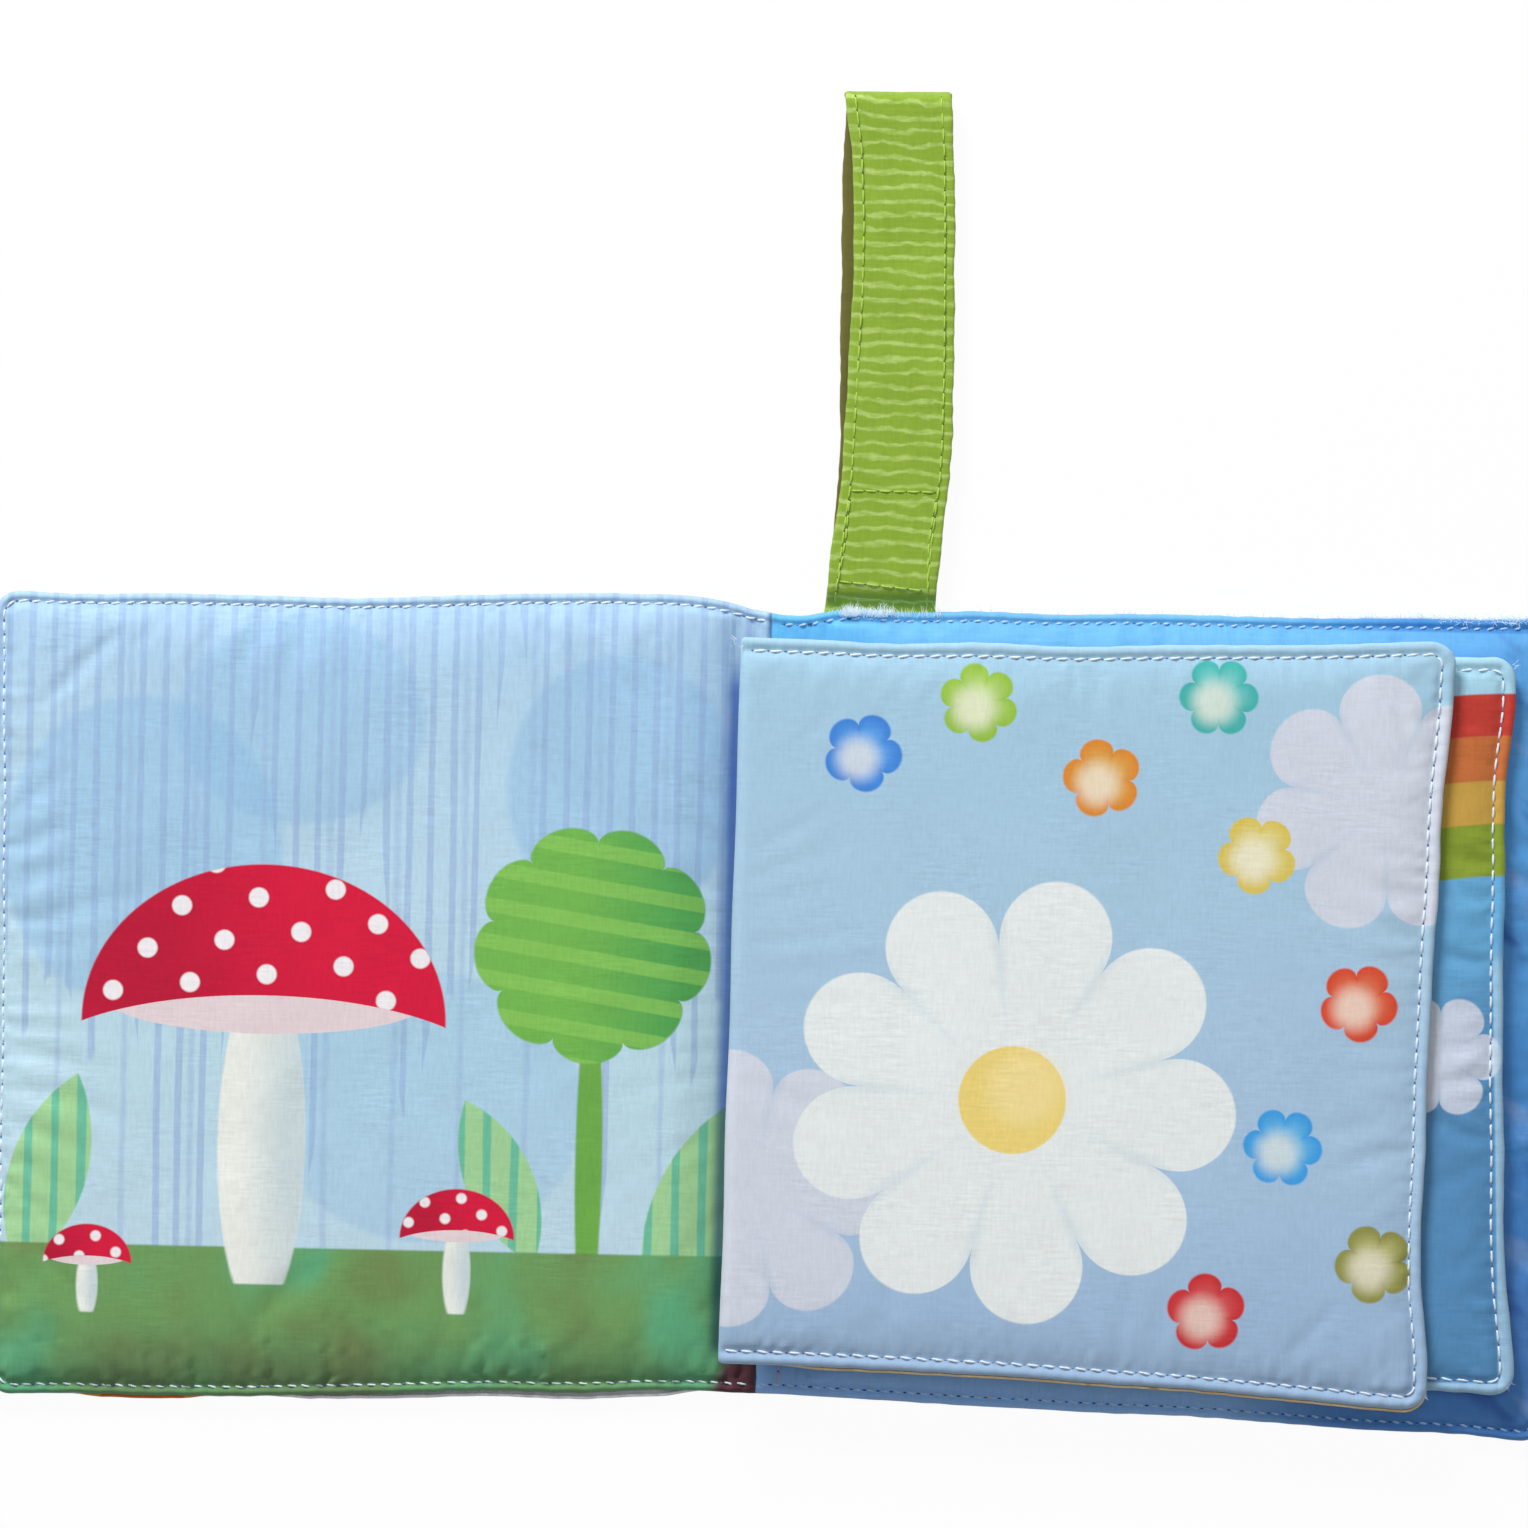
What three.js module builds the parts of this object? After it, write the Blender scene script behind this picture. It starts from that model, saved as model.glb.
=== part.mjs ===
// Crinkle cloth book, lying open: two padded covers joined by a cloth spine, two padded
// leaves sewn into the spine, and a folded carry strap closed by hook-and-loop patches.
// Millimetres. X runs across the open book, Y towards the strap, Z up from the table.
// The origin is on the table under the middle of the spine.

import * as THREE from 'three';

// Free gap between pieces that touch on the real book
const clearance = 0.3;

// Outline of the covers
const cover_reach = 149.2;
const spine_half_width = 8;
const cover_spine_height = 150.6;
const front_cover_fore_height = 153.5;
const back_cover_fore_height = 157;

// Outline of the leaves
const leaf_width = 135.6;
const leaf_spine_height = 139;
const leaf_fore_height = 145;
const leaf_1_fold_x = -7.6;
const leaf_2_root_x = 7;

// How the open book lies: both halves droop a little from the spine's foot
const lay_turn = THREE.MathUtils.degToRad(0.6);

// Shape of every panel's edge
const corner_radius = 4.5;
const corner_growth_share = 0.6;
const cover_draw_in = 0.8;
const leaf_draw_in = 1.3;
const rim_width = 2.3;
const rim_top_share = 0.45;
const cover_crown_run = 18;
const leaf_crown_run = 14;

// Height of a crowned sheet inside its sewn line: share of the run in, share of the rise
const crown_shares = [[0.1, 0.4], [0.4, 0.8], [1, 0.96]];

// Rise of the spine side, row by row from the edge in, as shares of the whole rise
const cover_spine_shares = [0, 0.05, 0.14, 0.32, 0.72, 0.96];
const leaf_fold_shares = [0.16, 0.55, 0.76, 0.86, 0.95, 1];

// Steps along a panel's outline
const corner_steps = 4;
const long_side_steps = 6;
const fore_side_steps = 5;
const spine_side_steps = 3;

// Layers of a cover
const cover_thickness = 6;
const outer_cloth = 0.8;
const inner_cloth = 0.7;
const seam_cloth = 0.5;
const cover_rim_rise = 1.5;
const cover_rim_side_rise = 1;
const cover_channel_rise = 0.6;
const cover_wadding_thickness = 2.4;
const cover_wadding_inset = 7;
const film_thickness = 0.2;
const film_inset = 9;
const seam_allowance_width = 5;

// Layers of a leaf, which is the same above and below its middle
const leaf_thickness = 3.6;
const leaf_cloth = 0.5;
const leaf_rim_rise = 1.1;
const leaf_rim_side_rise = 0.75;
const leaf_channel_rise = 0.6;
const leaf_wadding_thickness = 0.8;
const leaf_wadding_inset = 7;
const page_gap = 0.4;

// Sewing threads
const thread_size = 0.4;
const thread_lift = 0.45;

// Spine
const spine_outer_cloth = 0.6;
const spine_inner_cloth = 0.6;
const spine_seam_inset = 2;
const gutter_x = 5;
const gutter_foot_width = 2.4;
const gutter_top_width = 1;
const gutter_height = 4.2;
const gutter_end_inset = 1.5;
const gutter_seam_gap = 0.8;

// Carry strap
const strap_x = 20.6;
const strap_width = 20;
const strap_cloth = 1;
const strap_reach = 98.7;
const strap_sway = 1.3;
const strap_rest_height = 0.3;
const strap_hinge_gap = 1.1;
const strap_ramp_run = 2.8;
const strap_stitch_inset = 2.9;
const strap_stitch_doubling = 0.9;
const fold_steps = 3;
const tab_depth = 5;
const tab_overhang = 0.7;
const patch_thickness = 0.6;
const patch_width = 16.4;
const patch_length = 19;

// Sideways sway along the strap: share of its reach, share of the sway
const strap_sway_shares = [[0, -1], [0.23, 0.7], [0.7, 0.45], [1, -0.4]];
// Climb of the strap out of the seam: share of the ramp's run, share of its rise
const strap_ramp_shares = [[0, 0], [0.25, 0.14], [0.75, 0.86], [1, 1]];

// Heights worked out from the layers
const seam_bottom = outer_cloth + clearance;
const seam_top = seam_bottom + seam_cloth;
const rim_bottom = seam_top + clearance;
const leaf_2_bottom = cover_thickness + page_gap;
const leaf_1_bottom = leaf_2_bottom + leaf_thickness + page_gap;
const spine_top = spine_outer_cloth + clearance + spine_inner_cloth;

// Finishes
const pale_print = { color: 0xa9c6e2, roughness: 0.85, metalness: 0 };
const blue_print = { color: 0x4f97d4, roughness: 0.85, metalness: 0 };
const outer_print = { color: 0xe7a35f, roughness: 0.85, metalness: 0 };
const plush = { color: 0xf1f5f9, roughness: 1, metalness: 0 };
const leaf_print = { color: 0xa3c1de, roughness: 0.85, metalness: 0 };
const rainbow_print = { color: 0x7fb4dc, roughness: 0.85, metalness: 0 };
const sand_print = { color: 0xe4c79c, roughness: 0.85, metalness: 0 };
const wadding = { color: 0xf7f7f2, roughness: 1, metalness: 0 };
const crinkle_film = { color: 0xdfe6ea, roughness: 0.25, metalness: 0.1 };
const pale_thread = { color: 0xb9d9f2, roughness: 0.6, metalness: 0 };
const pink_thread = { color: 0xcfb2cf, roughness: 0.6, metalness: 0 };
const green_cotton = { color: 0x86a832, roughness: 0.85, metalness: 0 };
const green_thread = { color: 0xa9cf4e, roughness: 0.6, metalness: 0 };
const hook_tape = { color: 0x6f8f2c, roughness: 0.7, metalness: 0 };
const loop_tape = { color: 0x7d9d3a, roughness: 0.95, metalness: 0 };

const book = new THREE.Group();
const front_cover = new THREE.Group();
const back_cover = new THREE.Group();
const leaves = new THREE.Group();
front_cover.rotation.z = Math.PI + lay_turn;
back_cover.rotation.z = -lay_turn;
leaves.rotation.z = -lay_turn;
book.add(front_cover, back_cover, leaves);

// Adds one named piece to a group
function add_piece(group, name, geometry, finish) {
  const piece = new THREE.Mesh(geometry, new THREE.MeshStandardMaterial(finish));
  piece.name = name;
  group.add(piece);
}

// Joins rows of points into one closed body that ends in a point at each end
function closed_body(rows, first_point, last_point) {
  const count = rows[0].length;
  const points = [first_point, ...rows.flat(), last_point];
  const last = points.length - 1;
  const faces = [];
  for (let i = 0; i < count; i += 1) {
    const j = (i + 1) % count;
    faces.push([0, 1 + i, 1 + j]);
    faces.push([last, last - count + j, last - count + i]);
    for (let row = 1; row < rows.length; row += 1) {
      const above = 1 + (row - 1) * count;
      const below = above + count;
      faces.push([above + i, below + i, below + j]);
      faces.push([above + i, below + j, above + j]);
    }
  }
  const volume = faces.reduce((sum, [a, b, c]) => {
    const side = new THREE.Vector3().crossVectors(points[b], points[c]);
    return sum + points[a].dot(side);
  }, 0);
  const outward = volume > 0 ? faces : faces.map(([a, b, c]) => [a, c, b]);
  const geometry = new THREE.BufferGeometry();
  geometry.setFromPoints(points);
  geometry.setIndex(outward.flat());
  return geometry;
}

// Middle of a row of points
function row_middle(row) {
  const sum = row.reduce((total, point) => total.add(point), new THREE.Vector3());
  return sum.divideScalar(row.length);
}

// Panel outlines

// Half the height of a panel at x, which grows from the spine to the fore edge
function half_height(panel, x) {
  const share = (x - panel.root_x) / (panel.fore_x - panel.root_x);
  return THREE.MathUtils.lerp(panel.root_height, panel.fore_height, share) / 2;
}

// Pull of the stitching on a side, greatest in its middle
function pull(depth, share) {
  return depth * 4 * share * (1 - share);
}

// Corner radius of the outline that lies inset from a panel's edge
function row_radius(inset) {
  const sewn_radius = corner_radius - Math.min(inset, rim_width);
  return sewn_radius + Math.max(inset - rim_width, 0) * corner_growth_share;
}

// Quarter turn round a corner, from a start angle
function corner_points(centre_x, centre_y, radius, start_angle) {
  return Array.from({ length: corner_steps + 1 }, (_, step) => {
    const angle = start_angle + (step / corner_steps) * Math.PI / 2;
    return new THREE.Vector2(centre_x + radius * Math.cos(angle), centre_y + radius * Math.sin(angle));
  });
}

// Height of a panel's sewn side at x, as an outline inset from its edge
function side_height(panel, inset, x) {
  const share = (x - panel.root_x) / (panel.fore_x - panel.root_x);
  return half_height(panel, x) - inset - pull(panel.draw_in, share);
}

// Open line along the three sewn sides, from the spine at the foot to the spine at the head
function sewn_line(panel, inset, start_x) {
  const radius = row_radius(inset);
  const right = panel.fore_x - inset;
  const corner_x = right - radius;
  const corner_y = side_height(panel, inset, corner_x) - radius;
  const long_side = Array.from({ length: long_side_steps }, (_, step) => {
    const x = THREE.MathUtils.lerp(start_x, corner_x, step / long_side_steps);
    return new THREE.Vector2(x, -side_height(panel, inset, x));
  });
  const fore_side = Array.from({ length: fore_side_steps - 1 }, (_, step) => {
    const share = (step + 1) / fore_side_steps;
    const y = THREE.MathUtils.lerp(-corner_y, corner_y, share);
    return new THREE.Vector2(right - pull(panel.draw_in, share), y);
  });
  const head_side = long_side.map((point) => new THREE.Vector2(point.x, -point.y)).reverse();
  return [
    ...long_side,
    ...corner_points(corner_x, -corner_y, radius, -Math.PI / 2),
    ...fore_side,
    ...corner_points(corner_x, corner_y, radius, 0),
    ...head_side,
  ];
}

// Closed line round a panel. Each entry holds its place and how sewn it is: 1 on the
// three sewn sides, 0 along the spine.
function panel_row(panel, inset) {
  const radius = row_radius(inset);
  const left = panel.root_x + inset;
  const corner_x = left + radius;
  const corner_y = side_height(panel, inset, corner_x) - radius;
  const sewn = sewn_line(panel, inset, corner_x).map((place) => ({ place, sewn: 1 }));
  const head = corner_points(corner_x, corner_y, radius, Math.PI / 2).slice(1);
  const foot = corner_points(corner_x, -corner_y, radius, Math.PI).slice(0, -1);
  const spine_side = Array.from({ length: spine_side_steps - 1 }, (_, step) => {
    const y = THREE.MathUtils.lerp(corner_y, -corner_y, (step + 1) / spine_side_steps);
    return { place: new THREE.Vector2(left, y), sewn: 0 };
  });
  return [
    ...sewn,
    ...head.map((place, step) => ({ place, sewn: 1 - (step + 1) / corner_steps })),
    ...spine_side,
    ...foot.map((place, step) => ({ place, sewn: step / corner_steps })),
  ];
}

// Flat layer that follows a panel's outline
function flat_layer(panel, inset, bottom, thickness) {
  const outline = new THREE.Shape(panel_row(panel, inset).map((entry) => entry.place));
  const geometry = new THREE.ExtrudeGeometry(outline, { depth: thickness, bevelEnabled: false });
  geometry.translate(0, 0, bottom);
  return geometry;
}

// Flat band between two insets along the sewn sides
function sewn_band(line, bottom, thickness) {
  const outline = new THREE.Shape(line);
  const geometry = new THREE.ExtrudeGeometry(outline, { depth: thickness, bevelEnabled: false });
  geometry.translate(0, 0, bottom);
  return geometry;
}

// Rows of a crowned sheet from the edge in: inset, sewn height and spine-side height
function sheet_profile(heights, crown_run, spine_shares) {
  const rise = heights.crown - heights.channel;
  const rows = [
    [0, heights.rim_side],
    [rim_width * rim_top_share, heights.rim_top],
    [rim_width, heights.channel],
    ...crown_shares.map(([run, lift]) => [rim_width + crown_run * run, heights.channel + rise * lift]),
  ];
  const spine_rise = heights.crown - heights.spine_side;
  return rows.map(([inset, sewn_height], index) => {
    const spine_height = heights.spine_side + spine_rise * spine_shares[index];
    return { inset, sewn_height, spine_height };
  });
}

// Crowned sheet of cloth with a rolled rim and a sewn channel. Heights are measured from
// the level that the sheet springs from, upwards for way 1 and downwards for way -1.
function crowned_sheet(panel, heights, crown_run, spine_shares, cloth, level, way) {
  const profile = sheet_profile(heights, crown_run, spine_shares);
  const outer_rows = [];
  const inner_rows = [];
  for (const { inset, sewn_height, spine_height } of profile) {
    const row = panel_row(panel, inset).map(({ place, sewn }) => {
      const height = THREE.MathUtils.lerp(spine_height, sewn_height, sewn);
      return { place, height };
    });
    outer_rows.unshift(row.map(({ place, height }) => (
      new THREE.Vector3(place.x, place.y, level + way * height))));
    inner_rows.push(row.map(({ place, height }) => (
      new THREE.Vector3(place.x, place.y, level + way * Math.max(heights.bottom, height - cloth)))));
  }
  const outer_middle = row_middle(outer_rows[0]).setZ(level + way * heights.crown);
  const inner_middle = row_middle(inner_rows.at(-1)).setZ(level + way * (heights.crown - cloth));
  return closed_body([...outer_rows, ...inner_rows], outer_middle, inner_middle);
}

// Thread that lies in a panel's sewn channel, from where the channel leaves the spine side
function edge_thread(panel, bottom) {
  const start_x = panel.root_x + rim_width + row_radius(rim_width);
  const outside = sewn_line(panel, rim_width - thread_size / 2, start_x);
  const inside = sewn_line(panel, rim_width + thread_size / 2, start_x).reverse();
  return sewn_band([...outside, ...inside], bottom, thread_size);
}

// Covers

const front_panel = {
  root_x: spine_half_width,
  fore_x: cover_reach,
  root_height: cover_spine_height,
  fore_height: front_cover_fore_height,
  draw_in: cover_draw_in,
};
const back_panel = { ...front_panel, fore_height: back_cover_fore_height };

const cover_heights = {
  bottom: 0,
  rim_side: cover_rim_side_rise,
  rim_top: cover_rim_rise,
  channel: cover_channel_rise,
  spine_side: cover_channel_rise,
  crown: cover_thickness - rim_bottom,
};
const cover_thread_bottom = rim_bottom + cover_channel_rise + thread_lift;

// Turned-in seam allowance: a band inside the rim, from the spine or from past the strap
function seam_allowance(panel, head_start_x) {
  const outside = sewn_line(panel, clearance, panel.root_x + clearance);
  const inside = sewn_line(panel, seam_allowance_width, panel.root_x + clearance);
  const kept = (point) => point.y < 0 || point.x > head_start_x;
  const head_y = side_height(panel, clearance, head_start_x);
  const inner_head_y = side_height(panel, seam_allowance_width, head_start_x);
  const head_end = [
    new THREE.Vector2(head_start_x, head_y),
    new THREE.Vector2(head_start_x, inner_head_y),
  ];
  const line = [...outside.filter(kept), ...head_end, ...inside.filter(kept).reverse()];
  return sewn_band(line, seam_bottom, seam_cloth);
}

function add_cover(group, prefix, panel, outer_finish, inner_finish, seam_start_x) {
  const inner_sheet = crowned_sheet(
    panel, cover_heights, cover_crown_run, cover_spine_shares, inner_cloth, rim_bottom, 1);
  const film_bottom = seam_bottom + cover_wadding_thickness + clearance;
  add_piece(group, `${prefix}_outer`, flat_layer(panel, 0, 0, outer_cloth), outer_finish);
  add_piece(group, `${prefix}_seam_allowance`, seam_allowance(panel, seam_start_x), inner_finish);
  add_piece(group, `${prefix}_wadding`,
    flat_layer(panel, cover_wadding_inset, seam_bottom, cover_wadding_thickness), wadding);
  add_piece(group, `${prefix}_crinkle_film`,
    flat_layer(panel, film_inset, film_bottom, film_thickness), crinkle_film);
  add_piece(group, `${prefix}_inner`, inner_sheet, inner_finish);
  add_piece(group, `${prefix}_edge_thread`, edge_thread(panel, cover_thread_bottom), pale_thread);
}

const strap_side_x = strap_x + strap_width / 2 + strap_sway + clearance;
add_cover(front_cover, 'front_cover', front_panel, outer_print, pale_print,
  spine_half_width + clearance);
add_cover(back_cover, 'back_cover', back_panel, plush, blue_print, strap_side_x);

// Leaves

const leaf_heights = {
  bottom: clearance / 2,
  rim_side: leaf_rim_side_rise,
  rim_top: leaf_rim_rise,
  channel: leaf_channel_rise,
  spine_side: 0,
  crown: leaf_thickness / 2,
};
const leaf_wadding_bottom = leaf_cloth + clearance * 2;
const leaf_film_bottom = leaf_wadding_bottom + leaf_wadding_thickness + clearance;
const leaf_thread_rise = leaf_channel_rise + thread_lift;

function add_leaf(prefix, root_x, bottom, front_finish, back_finish) {
  const panel = {
    root_x,
    fore_x: root_x + leaf_width,
    root_height: leaf_spine_height,
    fore_height: leaf_fore_height,
    draw_in: leaf_draw_in,
  };
  const middle = bottom + leaf_thickness / 2;
  const sheet = (way) => crowned_sheet(
    panel, leaf_heights, leaf_crown_run, leaf_fold_shares, leaf_cloth, middle, way);
  add_piece(leaves, `${prefix}_back`, sheet(-1), back_finish);
  add_piece(leaves, `${prefix}_wadding`,
    flat_layer(panel, leaf_wadding_inset, bottom + leaf_wadding_bottom, leaf_wadding_thickness), wadding);
  add_piece(leaves, `${prefix}_crinkle_film`,
    flat_layer(panel, film_inset, bottom + leaf_film_bottom, film_thickness), crinkle_film);
  add_piece(leaves, `${prefix}_front`, sheet(1), front_finish);
  add_piece(leaves, `${prefix}_needle_thread`,
    edge_thread(panel, middle + leaf_thread_rise), pale_thread);
  add_piece(leaves, `${prefix}_bobbin_thread`,
    edge_thread(panel, middle - leaf_thread_rise - thread_size), pale_thread);
}

add_leaf('leaf_2', leaf_2_root_x, leaf_2_bottom, rainbow_print, blue_print);
add_leaf('leaf_1', leaf_1_fold_x, leaf_1_bottom, leaf_print, sand_print);

// Spine

// Half the width between the covers at height y, less the gap beside them
function spine_side(y) {
  return (spine_half_width + y * Math.sin(lay_turn)) / Math.cos(lay_turn) - clearance;
}

// Flat strip between the covers, narrower at the foot
function spine_strip(bottom, thickness, side_inset) {
  const end = cover_spine_height / 2;
  const corners = [[-1, -1], [1, -1], [1, 1], [-1, 1]].map(([side, way]) => (
    new THREE.Vector2(side * (spine_side(way * end) - side_inset), way * end)));
  const geometry = new THREE.ExtrudeGeometry(new THREE.Shape(corners), { depth: thickness, bevelEnabled: false });
  geometry.translate(0, 0, bottom);
  return geometry;
}

// Straight sewn line on the spine between two places
function spine_thread(foot_x, head_x, end) {
  const half = thread_size / 2;
  const corners = [[foot_x - half, -end], [foot_x + half, -end], [head_x + half, end], [head_x - half, end]];
  const outline = new THREE.Shape(corners.map(([x, y]) => new THREE.Vector2(x, y)));
  const geometry = new THREE.ExtrudeGeometry(outline, { depth: thread_size, bevelEnabled: false });
  geometry.translate(0, 0, spine_top + clearance);
  return geometry;
}

// Ridge where the tails of both leaves are sewn together
function gutter_ridge() {
  const foot = gutter_foot_width / 2;
  const top = gutter_top_width / 2;
  const section = new THREE.Shape([
    new THREE.Vector2(-foot, 0),
    new THREE.Vector2(foot, 0),
    new THREE.Vector2(top, gutter_height),
    new THREE.Vector2(-top, gutter_height),
  ]);
  const length = leaf_spine_height - gutter_end_inset * 2;
  const geometry = new THREE.ExtrudeGeometry(section, { depth: length, bevelEnabled: false });
  geometry.rotateX(Math.PI / 2);
  geometry.translate(gutter_x, length / 2, spine_top + clearance);
  return geometry;
}

const seam_end = cover_spine_height / 2 - rim_width;
const seam_foot_x = spine_side(-seam_end) - spine_seam_inset;
const seam_head_x = spine_side(seam_end) - spine_seam_inset;
const gutter_seam_x = gutter_x - gutter_foot_width / 2 - gutter_seam_gap;
add_piece(book, 'spine_outer', spine_strip(0, spine_outer_cloth, 0), outer_print);
add_piece(book, 'spine_inner',
  spine_strip(spine_outer_cloth + clearance, spine_inner_cloth, 0), pale_print);
add_piece(book, 'spine_front_seam', spine_thread(-seam_foot_x, -seam_head_x, seam_end), pale_thread);
add_piece(book, 'leaf_gutter', gutter_ridge(), leaf_print);
add_piece(book, 'leaf_gutter_seam', spine_thread(gutter_seam_x, gutter_seam_x, seam_end), pink_thread);

// Carry strap

const strap_edge_y = side_height(back_panel, 0, strap_x) * Math.cos(lay_turn)
  - strap_x * Math.sin(lay_turn);
const strap_hinge_y = strap_edge_y + strap_hinge_gap;
const strap_tip_y = strap_edge_y + strap_reach;
const tab_middle = seam_bottom + seam_cloth / 2;
const back_leg_middle = strap_rest_height + strap_cloth / 2;
const loop_patch_bottom = strap_rest_height + strap_cloth + clearance;
const hook_patch_bottom = loop_patch_bottom + patch_thickness + clearance;
const front_leg_bottom = hook_patch_bottom + patch_thickness + clearance;
const front_leg_middle = front_leg_bottom + strap_cloth / 2;
const fold_radius = (front_leg_middle - back_leg_middle) / 2;
const fold_middle = back_leg_middle + fold_radius;
const fold_start_y = strap_tip_y - fold_radius - strap_cloth / 2;

// Middle of the strap across its width at a place along it
function strap_centre(y) {
  const share = THREE.MathUtils.clamp((y - strap_edge_y) / strap_reach, 0, 1);
  const after = Math.max(1, strap_sway_shares.findIndex(([place]) => place >= share));
  const [low_place, low_sway] = strap_sway_shares[after - 1];
  const [high_place, high_sway] = strap_sway_shares[after];
  const sway = THREE.MathUtils.lerp(low_sway, high_sway, (share - low_place) / (high_place - low_place));
  return strap_x + strap_sway * sway;
}

// Flat band that follows places [y, z] along the strap, set off to one side of its middle
function strap_band(places, width, thickness, side_offset) {
  const rows = places.map(([y, z], index) => {
    const [back_y, back_z] = places[Math.max(index - 1, 0)];
    const [next_y, next_z] = places[Math.min(index + 1, places.length - 1)];
    const along = new THREE.Vector2(next_y - back_y, next_z - back_z).normalize();
    const centre = strap_centre(y) + side_offset;
    return [[-1, 1], [1, 1], [1, -1], [-1, -1]].map(([side, way]) => new THREE.Vector3(
      centre + side * width / 2,
      y - way * along.y * thickness / 2,
      z + way * along.x * thickness / 2,
    ));
  });
  return closed_body(rows, row_middle(rows[0]), row_middle(rows.at(-1)));
}

// Places on the quarter bend at the top fold: way 1 above the fold's middle, -1 below it
function quarter_fold(way) {
  const stop = Math.asin(clearance / fold_radius);
  return Array.from({ length: fold_steps + 1 }, (_, step) => {
    const angle = THREE.MathUtils.lerp(Math.PI / 2, stop, step / fold_steps);
    return [fold_start_y + fold_radius * Math.cos(angle), fold_middle + way * fold_radius * Math.sin(angle)];
  });
}

// Places along a straight leg where the strap's sway changes
function leg_places(height) {
  return strap_sway_shares.slice(1, -1).map(([share]) => [strap_edge_y + strap_reach * share, height]);
}

// Shape that follows the strap between two places, as wide as given
function strap_outline(width, low_y, high_y) {
  return [[-1, low_y], [1, low_y], [1, high_y], [-1, high_y]].map(([side, y]) => (
    new THREE.Vector2(strap_centre(y) + side * width / 2, y)));
}

function strap_plate(outline, bottom, thickness) {
  const geometry = new THREE.ExtrudeGeometry(outline, { depth: thickness, bevelEnabled: false });
  geometry.translate(0, 0, bottom);
  return geometry;
}

const ramp_end_y = strap_hinge_y + clearance + strap_ramp_run;
const patch_low_y = ramp_end_y + clearance * 2;
const patch_high_y = patch_low_y + patch_length;
const ramp = strap_ramp_shares.map(([run, rise]) => [
  strap_hinge_y + clearance + strap_ramp_run * run,
  THREE.MathUtils.lerp(tab_middle, front_leg_middle, rise),
]);
const front_leg = [...ramp, ...leg_places(front_leg_middle), ...quarter_fold(1)];
const back_leg_end_y = patch_low_y - clearance;
const back_leg = [
  [back_leg_end_y, back_leg_middle],
  ...leg_places(back_leg_middle),
  ...quarter_fold(-1),
];

// Thread on the face of a leg: way 1 on top of the front leg, -1 under the back leg
function leg_thread(first_y, height, side) {
  const bends = leg_places(height).filter(([y]) => y > first_y);
  const places = [[first_y, height], ...bends, [fold_start_y, height]];
  return strap_band(places, thread_size, thread_size, side * (strap_width / 2 - strap_stitch_inset));
}

const tab_outline = new THREE.Shape(
  strap_outline(strap_width, strap_edge_y - tab_depth, strap_edge_y + tab_overhang));
const patch_outline = () => new THREE.Shape(strap_outline(patch_width, patch_low_y, patch_high_y));
const box_width = strap_width - (strap_stitch_inset + strap_stitch_doubling) * 2;
const box_outline = new THREE.Shape(strap_outline(box_width, patch_low_y, patch_high_y));
box_outline.holes.push(new THREE.Path(strap_outline(
  box_width - thread_size * 2, patch_low_y + thread_size, patch_high_y - thread_size)));

const thread_gap = clearance + thread_size / 2;
const top_thread_height = front_leg_middle + strap_cloth / 2 + thread_gap;
const lining_thread_height = back_leg_middle + strap_cloth / 2 + thread_gap;
const tail_thread_start_y = patch_high_y + clearance;

add_piece(book, 'strap_root_tab', strap_plate(tab_outline, seam_bottom, seam_cloth), green_cotton);
add_piece(book, 'strap_front_leg', strap_band(front_leg, strap_width, strap_cloth, 0), green_cotton);
add_piece(book, 'strap_hook_patch', strap_plate(patch_outline(), hook_patch_bottom, patch_thickness), hook_tape);
add_piece(book, 'strap_box_seam',
  strap_plate(box_outline, front_leg_bottom + strap_cloth + clearance, thread_size), green_thread);
add_piece(book, 'strap_back_leg', strap_band(back_leg, strap_width, strap_cloth, 0), green_cotton);
add_piece(book, 'strap_loop_patch', strap_plate(patch_outline(), loop_patch_bottom, patch_thickness), loop_tape);
for (const [name, side] of [['left', -1], ['right', 1]]) {
  add_piece(book, `strap_front_${name}_thread`,
    leg_thread(ramp_end_y, top_thread_height, side), green_thread);
  add_piece(book, `strap_back_${name}_thread`,
    leg_thread(tail_thread_start_y, lining_thread_height, side), green_thread);
}

export default book;
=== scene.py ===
"""Looks of a crinkle cloth book that lies open on a table.

Two padded covers joined by a cloth spine, two padded leaves sewn into it, and a folded
carry strap. Shapes are worked out in millimetres in the part's own frame (X across the
open book, Y towards the strap, Z up) and turned into metres when a mesh is made.
"""

import logging
import math
from collections.abc import Callable, Sequence
from dataclasses import dataclass, field, replace
from enum import Enum

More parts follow.
